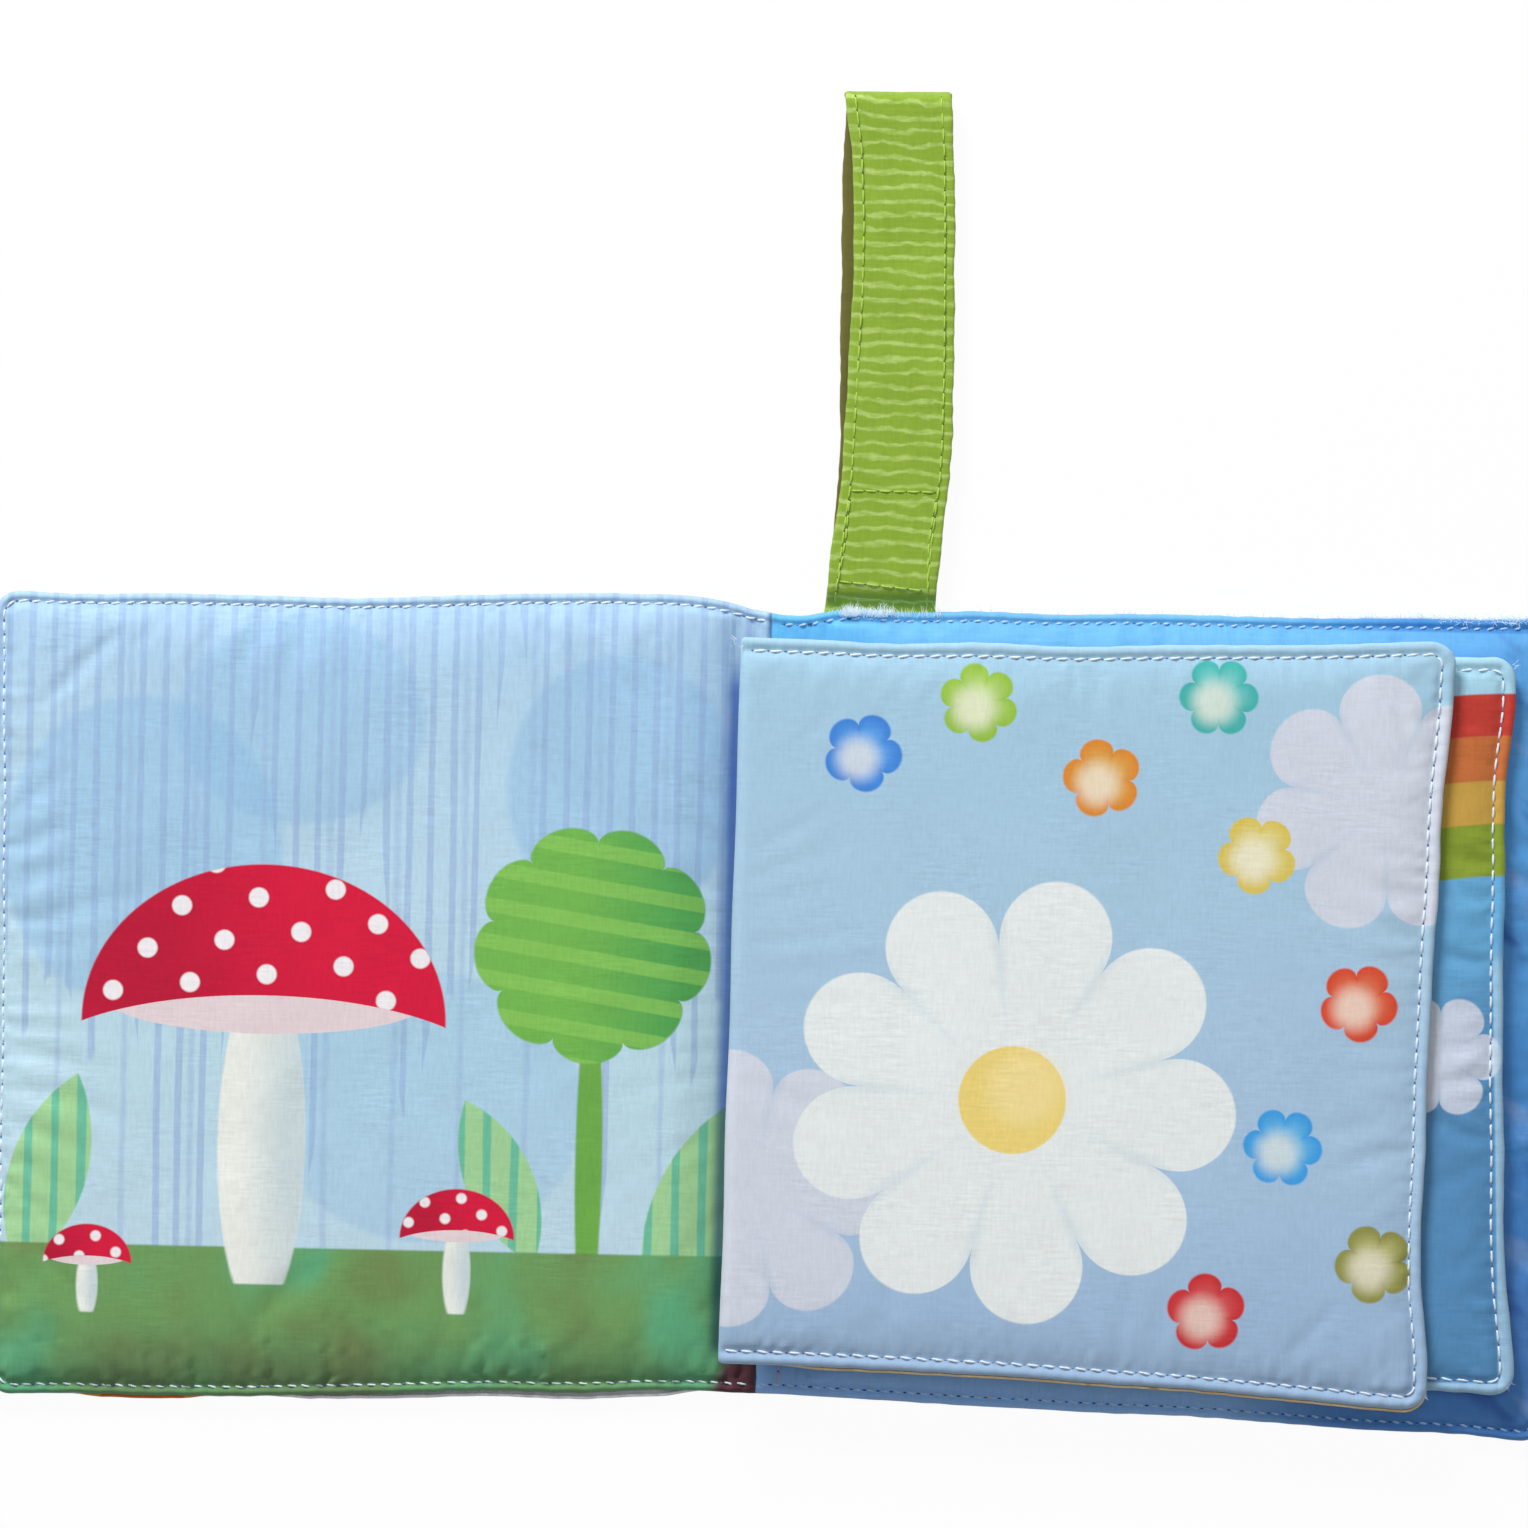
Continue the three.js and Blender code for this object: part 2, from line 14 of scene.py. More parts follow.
import bpy
import numpy as np
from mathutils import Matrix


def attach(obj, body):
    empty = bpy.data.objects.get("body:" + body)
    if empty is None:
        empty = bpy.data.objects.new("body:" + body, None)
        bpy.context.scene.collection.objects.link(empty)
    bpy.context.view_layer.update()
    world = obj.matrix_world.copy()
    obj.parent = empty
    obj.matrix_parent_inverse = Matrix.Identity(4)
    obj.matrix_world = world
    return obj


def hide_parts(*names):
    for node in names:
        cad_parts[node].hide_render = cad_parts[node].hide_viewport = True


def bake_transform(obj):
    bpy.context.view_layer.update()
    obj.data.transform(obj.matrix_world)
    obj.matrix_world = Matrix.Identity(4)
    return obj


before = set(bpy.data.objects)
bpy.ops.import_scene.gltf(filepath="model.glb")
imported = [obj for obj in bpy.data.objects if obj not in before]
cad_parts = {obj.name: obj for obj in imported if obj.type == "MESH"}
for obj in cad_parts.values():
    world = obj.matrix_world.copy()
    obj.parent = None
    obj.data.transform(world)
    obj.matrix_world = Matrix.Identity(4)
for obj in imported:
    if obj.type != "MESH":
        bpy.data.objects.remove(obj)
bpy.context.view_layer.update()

LOG = logging.getLogger("cloth_book")

MM = 0.001

# How both halves of the open book droop from the spine's head
LAY_TURN = math.radians(0.6)

# The name of the attribute that holds each point's place on the flat cloth, in mm
CLOTH_PLACE = "cloth_place"

# Height given to the places of a needle hole's painted shade and of the strap's inner face, in mm, so that
# their finish can tell them from the thread and the outer face, and the heights between which it sets in
MARK = 100.0
MARK_EDGE = (40, 60)

Array = np.ndarray
Socket = bpy.types.NodeSocket
Placer = Callable[[bpy.types.Object], None]


class RootEdge(Enum):
    """How a panel ends beside the spine."""

    SPINE = "runs down into the spine cloth"
    FOLD = "rounded fold"


class Side(Enum):
    """Which way a cloth faces."""

    UP = 1
    DOWN = -1


# Number helpers


def smooth(share: Array) -> Array:
    """Eases a share from 0 to 1."""
    kept = np.clip(share, 0, 1)
    return kept * kept * (3 - 2 * kept)


def ripple(places: Array, wavelength: float, seed: int, waves: int = 5) -> Array:
    """Sums sine waves of about one wavelength along a line.

    Args:
        places: Places along the line, in mm.
        wavelength: The middle wavelength, in mm.
        seed: Start of the random draws.
        waves: How many waves are summed.

    Returns:
        Heights between about -1 and 1.
    """
    rng = np.random.default_rng(seed)
    total = np.zeros_like(places, dtype=float)
    for _ in range(waves):
        length = wavelength * rng.uniform(0.65, 1.6)
        total += np.sin(places * 2 * math.pi / length + rng.uniform(0, 2 * math.pi))
    return total / math.sqrt(waves * 2)


def swell(x: Array, y: Array, wavelength: float, seed: int, waves: int = 7) -> Array:
    """Sums sine waves in many directions, for the soft unevenness of a padded cloth.

    Args:
        x: Places across, in mm.
        y: Places along, in mm.
        wavelength: The middle wavelength, in mm.
        seed: Start of the random draws.
        waves: How many waves are summed.

    Returns:
        Heights between about -1 and 1.
    """
    rng = np.random.default_rng(seed)
    total = np.zeros_like(x, dtype=float)
    for _ in range(waves):
        angle = rng.uniform(0, math.pi)
        length = wavelength * rng.uniform(0.6, 1.7)
        run = x * math.cos(angle) + y * math.sin(angle)
        total += np.sin(run * 2 * math.pi / length + rng.uniform(0, 2 * math.pi))
    return total / math.sqrt(waves * 2)


@dataclass(frozen=True)
class Crease:
    """A soft fold between two places on a cloth, in mm."""

    start: tuple[float, float]
    end: tuple[float, float]
    width: float
    height: float

    def rise(self, x: Array, y: Array) -> Array:
        """Height that the fold adds at each place.

        Args:
            x: Places across, in mm.
            y: Places along, in mm.

        Returns:
            Heights in mm.
        """
        along = np.array(self.end) - np.array(self.start)
        length = float(np.hypot(*along))
        unit = along / length
        run = (x - self.start[0]) * unit[0] + (y - self.start[1]) * unit[1]
        off = (y - self.start[1]) * unit[0] - (x - self.start[0]) * unit[1]
        share = np.clip(run / length, 0, 1)
        bend = self.width * 0.5 * np.sin(share * math.pi)
        taper = np.sin(np.clip((run / length + 0.1) / 1.2, 0, 1) * math.pi)
        return self.height * taper * np.exp(-(((off - bend) / self.width) ** 2))


# Mesh helpers


def distances(path: Array) -> Array:
    """Distance along a path to each of its points."""
    steps = np.linalg.norm(np.diff(path, axis=0), axis=1)
    return np.concatenate([[0], np.cumsum(steps)])


def points_at(path: Array, run: Array, at: Array) -> Array:
    """Points of a path at some distances, where run holds the distances of its own points."""
    return np.stack([np.interp(at, run, path[:, axis]) for axis in range(path.shape[1])], axis=1)


def beside(*columns: Array) -> Array:
    """Puts arrays beside each other, as one row for each point."""
    return np.stack([column.ravel() for column in columns], axis=1)


def new_piece(name: str, points: Array, faces: list, places: Array | None = None) -> bpy.types.Object:
    """Makes a smooth mesh object from points in mm.

    Args:
        name: The piece's name.
        points: One row of x, y and z for each point, in mm.
        faces: Point numbers of each face.
        places: Place of each point on the flat cloth, in mm, or None to use the points.

    Returns:
        The new object, linked to the scene.
    """
    mesh = bpy.data.meshes.new(name)
    mesh.from_pydata((np.asarray(points, float) * MM).tolist(), [], faces)
    held = mesh.attributes.new(CLOTH_PLACE, "FLOAT_VECTOR", "POINT")
    flat = np.asarray(points if places is None else places, np.float32)
    held.data.foreach_set("vector", flat.ravel())
    mesh.polygons.foreach_set("use_smooth", [True] * len(mesh.polygons))
    mesh.validate()
    mesh.update()
    piece = bpy.data.objects.new(name, mesh)
    bpy.context.scene.collection.objects.link(piece)
    return piece


def grid_faces(rows: int, columns: int, flipped: bool = False) -> list:
    """Faces of a grid whose points are numbered row by row."""
    row, column = np.meshgrid(np.arange(rows - 1), np.arange(columns - 1), indexing="ij")
    first = (row * columns + column).ravel()
    quads = np.stack([first, first + columns, first + columns + 1, first + 1], axis=1)
    return (quads[:, ::-1] if flipped else quads).tolist()


def closed_tube_faces(rings: int, sides: int, first: int = 0) -> list:
    """Faces of a tube of rings with a cap at each end."""
    faces = []
    for ring in range(rings - 1):
        for side in range(sides):
            after = (side + 1) % sides
            low, high = first + ring * sides, first + (ring + 1) * sides
            faces.append((low + side, low + after, high + after, high + side))
    faces.append(tuple(first + side for side in reversed(range(sides))))
    faces.append(tuple(first + (rings - 1) * sides + side for side in range(sides)))
    return faces


def thicken(piece: bpy.types.Object, thickness: float, towards: float = -1) -> None:
    """Gives a sheet its cloth thickness in mm, on the side away from its normals."""
    shell = piece.modifiers.new("cloth_thickness", "SOLIDIFY")
    shell.thickness = thickness * MM
    shell.offset = towards
    shell.use_quality_normals = True


def turned(x: Array, y: Array, angle: float | Array) -> tuple[Array, Array]:
    """Turns places about the origin by an angle in radians."""
    return x * np.cos(angle) - y * np.sin(angle), x * np.sin(angle) + y * np.cos(angle)


# Node helpers


class Board:
    """Adds nodes to a tree and joins them, so that a pattern reads as a sum."""

    def __init__(self, tree: bpy.types.NodeTree) -> None:
        """Keeps the tree that the nodes go into."""
        self.tree = tree

    def node(self, kind: str, **settings: object) -> bpy.types.Node:
        """Adds a node and sets its own properties."""
        made = self.tree.nodes.new(kind)
        for name, value in settings.items():
            setattr(made, name, value)
        return made

    def feed(self, socket: Socket, value: object) -> None:
        """Joins a socket to another one, or sets its value."""
        if isinstance(value, bpy.types.NodeSocket):
            self.tree.links.new(value, socket)
        else:
            socket.default_value = value

    def math(self, operation: str, *values: object) -> Socket:
        """Adds a Math node."""
        made = self.node("ShaderNodeMath", operation=operation)
        for socket, value in zip(made.inputs, values):
            self.feed(socket, value)
        return made.outputs[0]

    def times(self, first: object, second: object) -> Socket:
        """Multiplies two values."""
        return self.math("MULTIPLY", first, second)

    def plus(self, first: object, second: object) -> Socket:
        """Adds two values."""
        return self.math("ADD", first, second)

    def minus(self, first: object, second: object) -> Socket:
        """Takes the second value from the first."""
        return self.math("SUBTRACT", first, second)

    def over(self, first: object, second: object) -> Socket:
        """Divides the first value by the second."""
        return self.math("DIVIDE", first, second)

    def vector(self, operation: str, *values: object) -> Socket:
        """Adds a Vector Math node and gives its value or its vector."""
        made = self.node("ShaderNodeVectorMath", operation=operation)
        for socket, value in zip(made.inputs, values):
            self.feed(socket, value)
        return made.outputs[1 if operation in ("LENGTH", "DOT_PRODUCT", "DISTANCE") else 0]

    def scaled(self, place: Socket, x: float, y: float, z: float = 1) -> Socket:
        """Scales a vector along its three directions."""
        return self.vector("MULTIPLY", place, (x, y, z))

    def split(self, place: Socket) -> tuple[Socket, Socket]:
        """Gives the x and y of a vector."""
        made = self.node("ShaderNodeSeparateXYZ")
        self.feed(made.inputs[0], place)
        return made.outputs[0], made.outputs[1]

    def upright(self, place: Socket) -> Socket:
        """Gives the z of a vector."""
        made = self.node("ShaderNodeSeparateXYZ")
        self.feed(made.inputs[0], place)
        return made.outputs[2]

    def between(
        self, value: Socket, low: float, high: float, at_low: float = 0, at_high: float = 1
    ) -> Socket:
        """Maps a value's range to another one, smoothly and clamped."""
        made = self.node("ShaderNodeMapRange", interpolation_type="SMOOTHSTEP", clamp=True)
        for socket, given in zip(made.inputs, (value, low, high, at_low, at_high)):
            self.feed(socket, given)
        return made.outputs[0]

    def noise(self, place: Socket, wavelength: float, detail: float = 2, roughness: float = 0.5) -> Socket:
        """Adds a noise texture of one wavelength in mm and gives its factor."""
        made = self.node("ShaderNodeTexNoise")
        self.feed(made.inputs["Vector"], place)
        made.inputs["Scale"].default_value = 1 / wavelength
        made.inputs["Detail"].default_value = detail
        made.inputs["Roughness"].default_value = roughness
        return made.outputs[0]

    def shifted(self, place: Socket, wavelength: float, reach: float) -> Socket:
        """Moves a place about by noise, so that drawn edges waver."""
        made = self.node("ShaderNodeTexNoise")
        self.feed(made.inputs["Vector"], place)
        made.inputs["Scale"].default_value = 1 / wavelength
        centred = self.vector("SUBTRACT", made.outputs[1], (0.5, 0.5, 0.5))
        return self.vector("ADD", place, self.vector("MULTIPLY", centred, (2 * reach, 2 * reach, 0)))

    def mix(self, share: object, under: object, over: object, blend: str = "MIX") -> Socket:
        """Lays one colour over another."""
        made = self.node("ShaderNodeMix", data_type="RGBA", blend_type=blend)
        self.feed(made.inputs[0], share)
        for socket, colour in zip((made.inputs[6], made.inputs[7]), (under, over)):
            self.feed(socket, colour)
        return made.outputs[2]

    def ramp(self, share: Socket, stops: Sequence[tuple[float, tuple]]) -> Socket:
        """Adds a colour ramp with its stops."""
        made = self.node("ShaderNodeValToRGB")
        bar = made.color_ramp
        bar.interpolation = "EASE"
        for index, (place, colour) in enumerate(stops):
            stop = bar.elements[index] if index < 2 else bar.elements.new(place)
            stop.position = place
            stop.color = colour
        self.feed(made.inputs[0], share)
        return made.outputs[0]

    def group(self, tree: bpy.types.NodeTree, **given: object) -> bpy.types.Node:
        """Places a node group and feeds its named inputs, with _ for a blank."""
        made = self.node("ShaderNodeGroup", node_tree=tree)
        for name, value in given.items():
            self.feed(made.inputs[name.replace("_", " ")], value)
        return made


def colour(code: str) -> tuple[float, float, float, float]:
    """Turns a written colour such as "#aabbcc" into linear light."""
    parts = [int(code[i : i + 2], 16) / 255 for i in (1, 3, 5)]
    linear = [p / 12.92 if p <= 0.04045 else ((p + 0.055) / 1.055) ** 2.4 for p in parts]
    return (*linear, 1.0)


SOCKETS = {"vector": "NodeSocketVector", "number": "NodeSocketFloat", "colour": "NodeSocketColor"}


def make_group(
    name: str,
    inputs: dict[str, tuple[str, object]],
    outputs: dict[str, str],
    draw: Callable[[Board, dict[str, Socket]], dict[str, Socket]],
) -> bpy.types.NodeTree:
    """Makes a shader node group with named inputs and outputs.

    Args:
        name: The group's name.
        inputs: For each input, its kind and the value that it has when nothing is joined.
        outputs: For each output, its kind.
        draw: Adds the nodes and gives the socket for each output.

    Returns:
        The node group.
    """
    tree = bpy.data.node_groups.new(name, "ShaderNodeTree")
    for label, (kind, value) in inputs.items():
        made = tree.interface.new_socket(label, in_out="INPUT", socket_type=SOCKETS[kind])
        made.default_value = value
    for label, kind in outputs.items():
        tree.interface.new_socket(label, in_out="OUTPUT", socket_type=SOCKETS[kind])
    board = Board(tree)
    entry = board.node("NodeGroupInput")
    leave = board.node("NodeGroupOutput")
    drawn = draw(board, {label: entry.outputs[label] for label in inputs})
    for label, socket in drawn.items():
        tree.links.new(socket, leave.inputs[label])
    return tree


# Shared shapes of the prints


def draw_patch(board: Board, given: dict[str, Socket]) -> dict[str, Socket]:
    """Draws a turned ellipse: a mask, and how far each place is from its middle."""
    moved = board.vector("SUBTRACT", given["Place"], given["Centre"])
    spin = board.node("ShaderNodeVectorRotate", rotation_type="Z_AXIS")
    board.feed(spin.inputs["Vector"], moved)
    board.feed(spin.inputs["Angle"], given["Turn"])
    share = board.vector("DIVIDE", spin.outputs[0], given["Half Size"])
    reach = board.vector("LENGTH", board.scaled(share, 1, 1, 0))
    soft = board.over(given["Softness"], board.split(given["Half Size"])[0])
    edge = board.over(board.minus(reach, 1.0), soft)
    return {"Mask": board.between(edge, -1.0, 1.0, 1, 0), "Reach": reach}


def draw_petals(board: Board, given: dict[str, Socket]) -> dict[str, Socket]:
    """Draws a round flower with petals: a mask, and how far each place is from its middle."""
    moved = board.scaled(board.vector("SUBTRACT", given["Place"], given["Centre"]), 1, 1, 0)
    x, y = board.split(moved)
    angle = board.plus(board.math("ARCTAN2", y, x), given["Turn"])
    lobe = board.math("ABSOLUTE", board.math("COSINE", board.times(angle, given["Half Petals"])))
    bulge = board.math("POWER", lobe, 0.45)
    rim = board.plus(board.times(bulge, given["Cut"]), board.minus(1.0, given["Cut"]))
    radius = board.times(rim, given["Radius"])
    distance = board.vector("LENGTH", moved)
    edge = board.minus(distance, radius)
    reach = board.over(distance, radius)
    return {"Mask": board.between(edge, -0.3, 0.3, 1, 0), "Reach": reach, "Lobe": lobe}


def draw_dots(board: Board, given: dict[str, Socket]) -> dict[str, Socket]:
    """Draws staggered round dots over the whole cloth."""
    spin = board.node("ShaderNodeVectorRotate", rotation_type="Z_AXIS")
    board.feed(spin.inputs["Vector"], board.scaled(given["Place"], 1, 1, 0))
    spin.inputs["Angle"].default_value = math.radians(38)
    cell = board.node("ShaderNodeVectorMath", operation="DIVIDE")
    board.feed(cell.inputs[0], spin.outputs[0])
    board.feed(cell.inputs[1], given["Pitch"])
    centred = board.vector("SUBTRACT", board.vector("FRACTION", cell.outputs[0]), (0.5, 0.5, 0))
    distance = board.times(board.vector("LENGTH", board.scaled(centred, 1, 1, 0)), given["Pitch"])
    edge = board.minus(distance, given["Radius"])
    return {"Mask": board.between(edge, -0.25, 0.25, 1, 0)}


def draw_bars(board: Board, given: dict[str, Socket]) -> dict[str, Socket]:
    """Draws thin wavering bars that run along Y."""
    wavy = board.shifted(board.scaled(given["Place"], 1, 0.1, 0), 6, 0.75)
    x, _ = board.split(wavy)
    turn = board.math("FRACT", board.over(x, given["Pitch"]))
    off = board.math("ABSOLUTE", board.minus(turn, 0.5))
    width = board.over(given["Width"], given["Pitch"])
    edge = board.minus(off, board.times(width, 0.5))
    return {"Mask": board.between(edge, -0.03, 0.04, 1, 0)}


def draw_weave(board: Board, given: dict[str, Socket]) -> dict[str, Socket]:
    """Draws a fine uneven cotton weave: a tint and a height."""
    place = board.shifted(given["Place"], 4, 0.25)
    x, y = board.split(place)
    threads = []
    for run in (x, y):
        turn = board.times(run, board.over(2 * math.pi, given["Pitch"]))
        threads.append(board.math("SINE", turn))
    fine = board.times(threads[0], threads[1])
    across = board.noise(board.scaled(given["Place"], 0.2, 1.5), 1.0, 3, 0.7)
    along = board.noise(board.scaled(given["Place"], 1.8, 0.3), 1.0, 2, 0.6)
    patches = board.between(board.noise(given["Place"], 16, 2), 0.38, 0.66, 0.5, 2.0)
    streaks = board.times(board.minus(across, 0.5), patches)
    slubs = board.plus(board.plus(streaks, 0.5), along)
    height = board.plus(board.times(fine, 0.35), slubs)
    cloud = board.noise(given["Place"], 22, 3, 0.6)
    tint = board.plus(board.times(board.minus(slubs, 1.0), given["Slub"]), 1.0)
    shade = board.times(board.minus(cloud, 0.5), given["Cloud"])
    return {"Tint": board.plus(tint, shade), "Height": height}


class PrintShapes:
    """The node groups that every print is put together from, made once."""

    def __init__(self) -> None:
        """Makes the groups."""
        place = {"Place": ("vector", (0.0, 0.0, 0.0))}
        mask = {"Mask": "number"}
        self.patch = make_group(
            "print_patch",
            place
            | {
                "Centre": ("vector", (0.0, 0.0, 0.0)),
                "Half Size": ("vector", (10.0, 10.0, 1.0)),
                "Turn": ("number", 0.0),
                "Softness": ("number", 0.25),
            },
            mask | {"Reach": "number"},
            draw_patch,
        )
        self.petals = make_group(
            "print_petals",
            place
            | {
                "Centre": ("vector", (0.0, 0.0, 0.0)),
                "Radius": ("number", 10.0),
                "Half Petals": ("number", 2.5),
                "Cut": ("number", 0.3),
                "Turn": ("number", 0.0),
            },
            mask | {"Reach": "number", "Lobe": "number"},
            draw_petals,
        )
        self.dots = make_group(
            "print_dots", place | {"Pitch": ("number", 10.0), "Radius": ("number", 1.8)}, mask, draw_dots
        )
        self.bars = make_group(
            "print_bars", place | {"Pitch": ("number", 6.0), "Width": ("number", 1.3)}, mask, draw_bars
        )
        self.weave = make_group(
            "cotton_weave",
            place
            | {
                "Pitch": ("number", 0.46),
                "Slub": ("number", 0.10),
                "Cloud": ("number", 0.12),
            },
            {"Tint": "number", "Height": "number"},
            draw_weave,
        )


class Painter:
    """Lays printed shapes over a ground colour, one after another."""

    def __init__(self, board: Board, shapes: PrintShapes, place: Socket, ground: Socket) -> None:
        """Starts from the ground."""
        self.board = board
        self.shapes = shapes
        self.place = place
        self.paint = ground

    def lay(self, mask: Socket, over: object, strength: float = 1.0) -> None:
        """Lays a colour where the mask is."""
        share = mask if strength == 1.0 else self.board.times(mask, strength)
        self.paint = self.board.mix(share, self.paint, over)

    def patch(self, centre: tuple, half: tuple, turn: float = 0.0, softness: float = 0.25) -> bpy.types.Node:
        """Places an ellipse."""
        return self.board.group(
            self.shapes.patch,
            Place=self.place,
            Centre=(*centre, 0.0),
            Half_Size=(*half, 1.0),
            Turn=math.radians(turn),
            Softness=softness,
        )

    def petals(
        self, centre: tuple, radius: float, count: int, cut: float, turn: float = 0.0
    ) -> bpy.types.Node:
        """Places a flower."""
        return self.board.group(
            self.shapes.petals,
            Place=self.place,
            Centre=(*centre, 0.0),
            Radius=radius,
            Half_Petals=count / 2,
            Cut=cut,
            Turn=math.radians(turn),
        )

    def leaf(
        self, centre: tuple, length: float, width: float, turn: float, tones: tuple, veins: bool
    ) -> None:
        """Lays a pointed leaf in two tones.

        Args:
            centre: Middle of the leaf, in mm.
            length: From foot to tip, in mm.
            width: Across its middle, in mm.
            turn: Lean from upright, in degrees.
            tones: Its two colours.
            veins: Whether thin bars show on it.
        """
        radius = (length**2 / 4 + width**2 / 4) / width
        reach = radius - width / 2
        lean = math.radians(turn)
        masks = []
        for side in (-1, 1):
            middle = (centre[0] + side * reach * math.cos(lean), centre[1] + side * reach * math.sin(lean))
            masks.append(self.patch(middle, (radius, radius)).outputs["Mask"])
        both = self.board.times(masks[0], masks[1])
        self.lay(both, tones[0])
        if veins:
            bars = self.board.group(self.shapes.bars, Place=self.place, Pitch=5.2, Width=1.5)
            self.lay(self.board.times(bars.outputs["Mask"], both), tones[1])

    def toadstool(self, centre: tuple, width: float, foot: float) -> None:
        """Lays a spotted toadstool.

        Args:
            centre: Middle of the cap's lower edge, in mm.
            width: Across the cap, in mm.
            foot: Height of the ground that it stands on, in mm.
        """
        board = self.board
        half = width / 2
        stalk_top = centre[1] + half * 0.1
        stalk_middle = (stalk_top + foot) / 2
        stalk_half = (stalk_top - foot) / 2 + half * 0.16
        stalk = self.patch((centre[0], stalk_middle), (half * 0.24, stalk_half), 0, 0.3)
        above = board.between(board.split(self.place)[1], foot - 0.4, foot + 0.2)
        shaft = board.times(stalk.outputs["Mask"], above)
        self.lay(shaft, colour("#eef1ea"))
        shade = self.patch((centre[0] + half * 0.2, stalk_middle), (half * 0.2, stalk_half), 0, half * 0.16)
        self.lay(board.times(shade.outputs["Mask"], shaft), colour("#b9cfd8"), 0.7)
        gills = self.patch((centre[0], centre[1] + half * 0.1), (half * 0.86, half * 0.17))
        self.lay(gills.outputs["Mask"], colour("#e6d5d8"))
        dome = self.patch(centre, (half, half * 0.86))
        notch = self.patch((centre[0], centre[1] - half * 0.3), (half * 1.3, half * 0.44))
        upper = board.between(board.split(self.place)[1], centre[1] - half * 0.3, centre[1] - half * 0.28)
        cap = board.times(dome.outputs["Mask"], board.minus(1.0, notch.outputs["Mask"]))
        cap = board.times(cap, upper)
        self.lay(cap, colour("#d90f3c"))
        dark_middle = (centre[0] - half * 0.9, centre[1] + half * 0.1)
        dark = self.patch(dark_middle, (half * 0.8, half * 0.9), 0, half * 0.5)
        self.lay(board.times(dark.outputs["Mask"], cap), colour("#a3052f"), 0.55)
        pitch, radius = max(width * 0.15, 5.0), max(width * 0.027, 1.0)
        dots = board.group(self.shapes.dots, Place=self.place, Pitch=pitch, Radius=radius)
        self.lay(board.times(dots.outputs["Mask"], cap), colour("#f2eef1"))

    def blossom(self, centre: tuple, radius: float, tone: str, deep: str, count: int, turn: float) -> None:
        """Lays a small shaded flower with a pale middle.

        Args:
            centre: Its middle, in mm.
            radius: From middle to petal tip, in mm.
            tone: Colour of its petals.
            deep: Colour towards their tips.
            count: How many petals it has.
            turn: How far it is turned, in degrees.
        """
        board = self.board
        flower = self.petals(centre, radius, count, 0.36, turn)
        mask = flower.outputs["Mask"]
        petals = board.mix(board.between(flower.outputs["Reach"], 0.35, 1.0), colour(tone), colour(deep))
        self.lay(mask, petals)
        glow_middle = (centre[0] - radius * 0.12, centre[1] - radius * 0.15)
        glow = self.patch(glow_middle, (radius * 0.5, radius * 0.5), 0, radius * 0.28)
        self.lay(board.times(glow.outputs["Mask"], mask), colour("#f7f3e4"), 0.62)

    def daisy(
        self, centre: tuple, radius: float, tone: str, shade: str, heart: str, count: int, turn: float
    ) -> None:
        """Lays a large soft daisy.

        Args:
            centre: Its middle, in mm.
            radius: From middle to petal tip, in mm.
            tone: Colour of its petals.
            shade: Colour between them.
            heart: Colour of its middle, or nothing to leave it out.
            count: How many petals it has.
            turn: How far it is turned, in degrees.
        """
        board = self.board
        flower = self.petals(centre, radius, count, 0.34, turn)
        mask = flower.outputs["Mask"]
        between = board.between(flower.outputs["Lobe"], 0.0, 0.34, 1, 0)
        inner = board.between(flower.outputs["Reach"], 0.25, 0.9)
        petals = board.mix(board.times(board.times(between, inner), 0.5), colour(tone), colour(shade))
        self.lay(mask, petals)
        if heart:
            middle = self.patch(centre, (radius * 0.24, radius * 0.24))
            self.lay(middle.outputs["Mask"], colour(heart))
            rim_middle = (centre[0] + radius * 0.05, centre[1] + radius * 0.05)
            rim = self.patch(rim_middle, (radius * 0.16, radius * 0.16), 0, radius * 0.06)
            self.lay(rim.outputs["Mask"], colour("#f6e3a0"), 0.7)


def upward(
    board: Board, place: Socket, low: float, high: float, stops: Sequence[tuple[float, str]]
) -> Socket:
    """Shades a cloth from its foot to its head.

    Args:
        board: The tree's board.
        place: Place on the cloth.
        low: Height of the first stop, in mm.
        high: Height of the last stop, in mm.
        stops: Share of the way up, and colour.

    Returns:
        The shaded colour.
    """
    _, y = board.split(board.shifted(place, 60, 6))
    share = board.over(board.minus(y, low), high - low)
    return board.ramp(share, [(at, colour(code)) for at, code in stops])


# Height of the meadow's horizon on the front cover's page, in mm
GROUND_HEIGHT = -49.5

# Middle, half size and strength of the blue clouds of colour in its sky
SKY_PATCHES = (
    ((-122, 26), (27, 30), 0.5),
    ((-92, 52), (24, 20), 0.42),
    ((-30, 40), (22, 26), 0.5),
    ((-66, -22), (30, 26), 0.36),
)


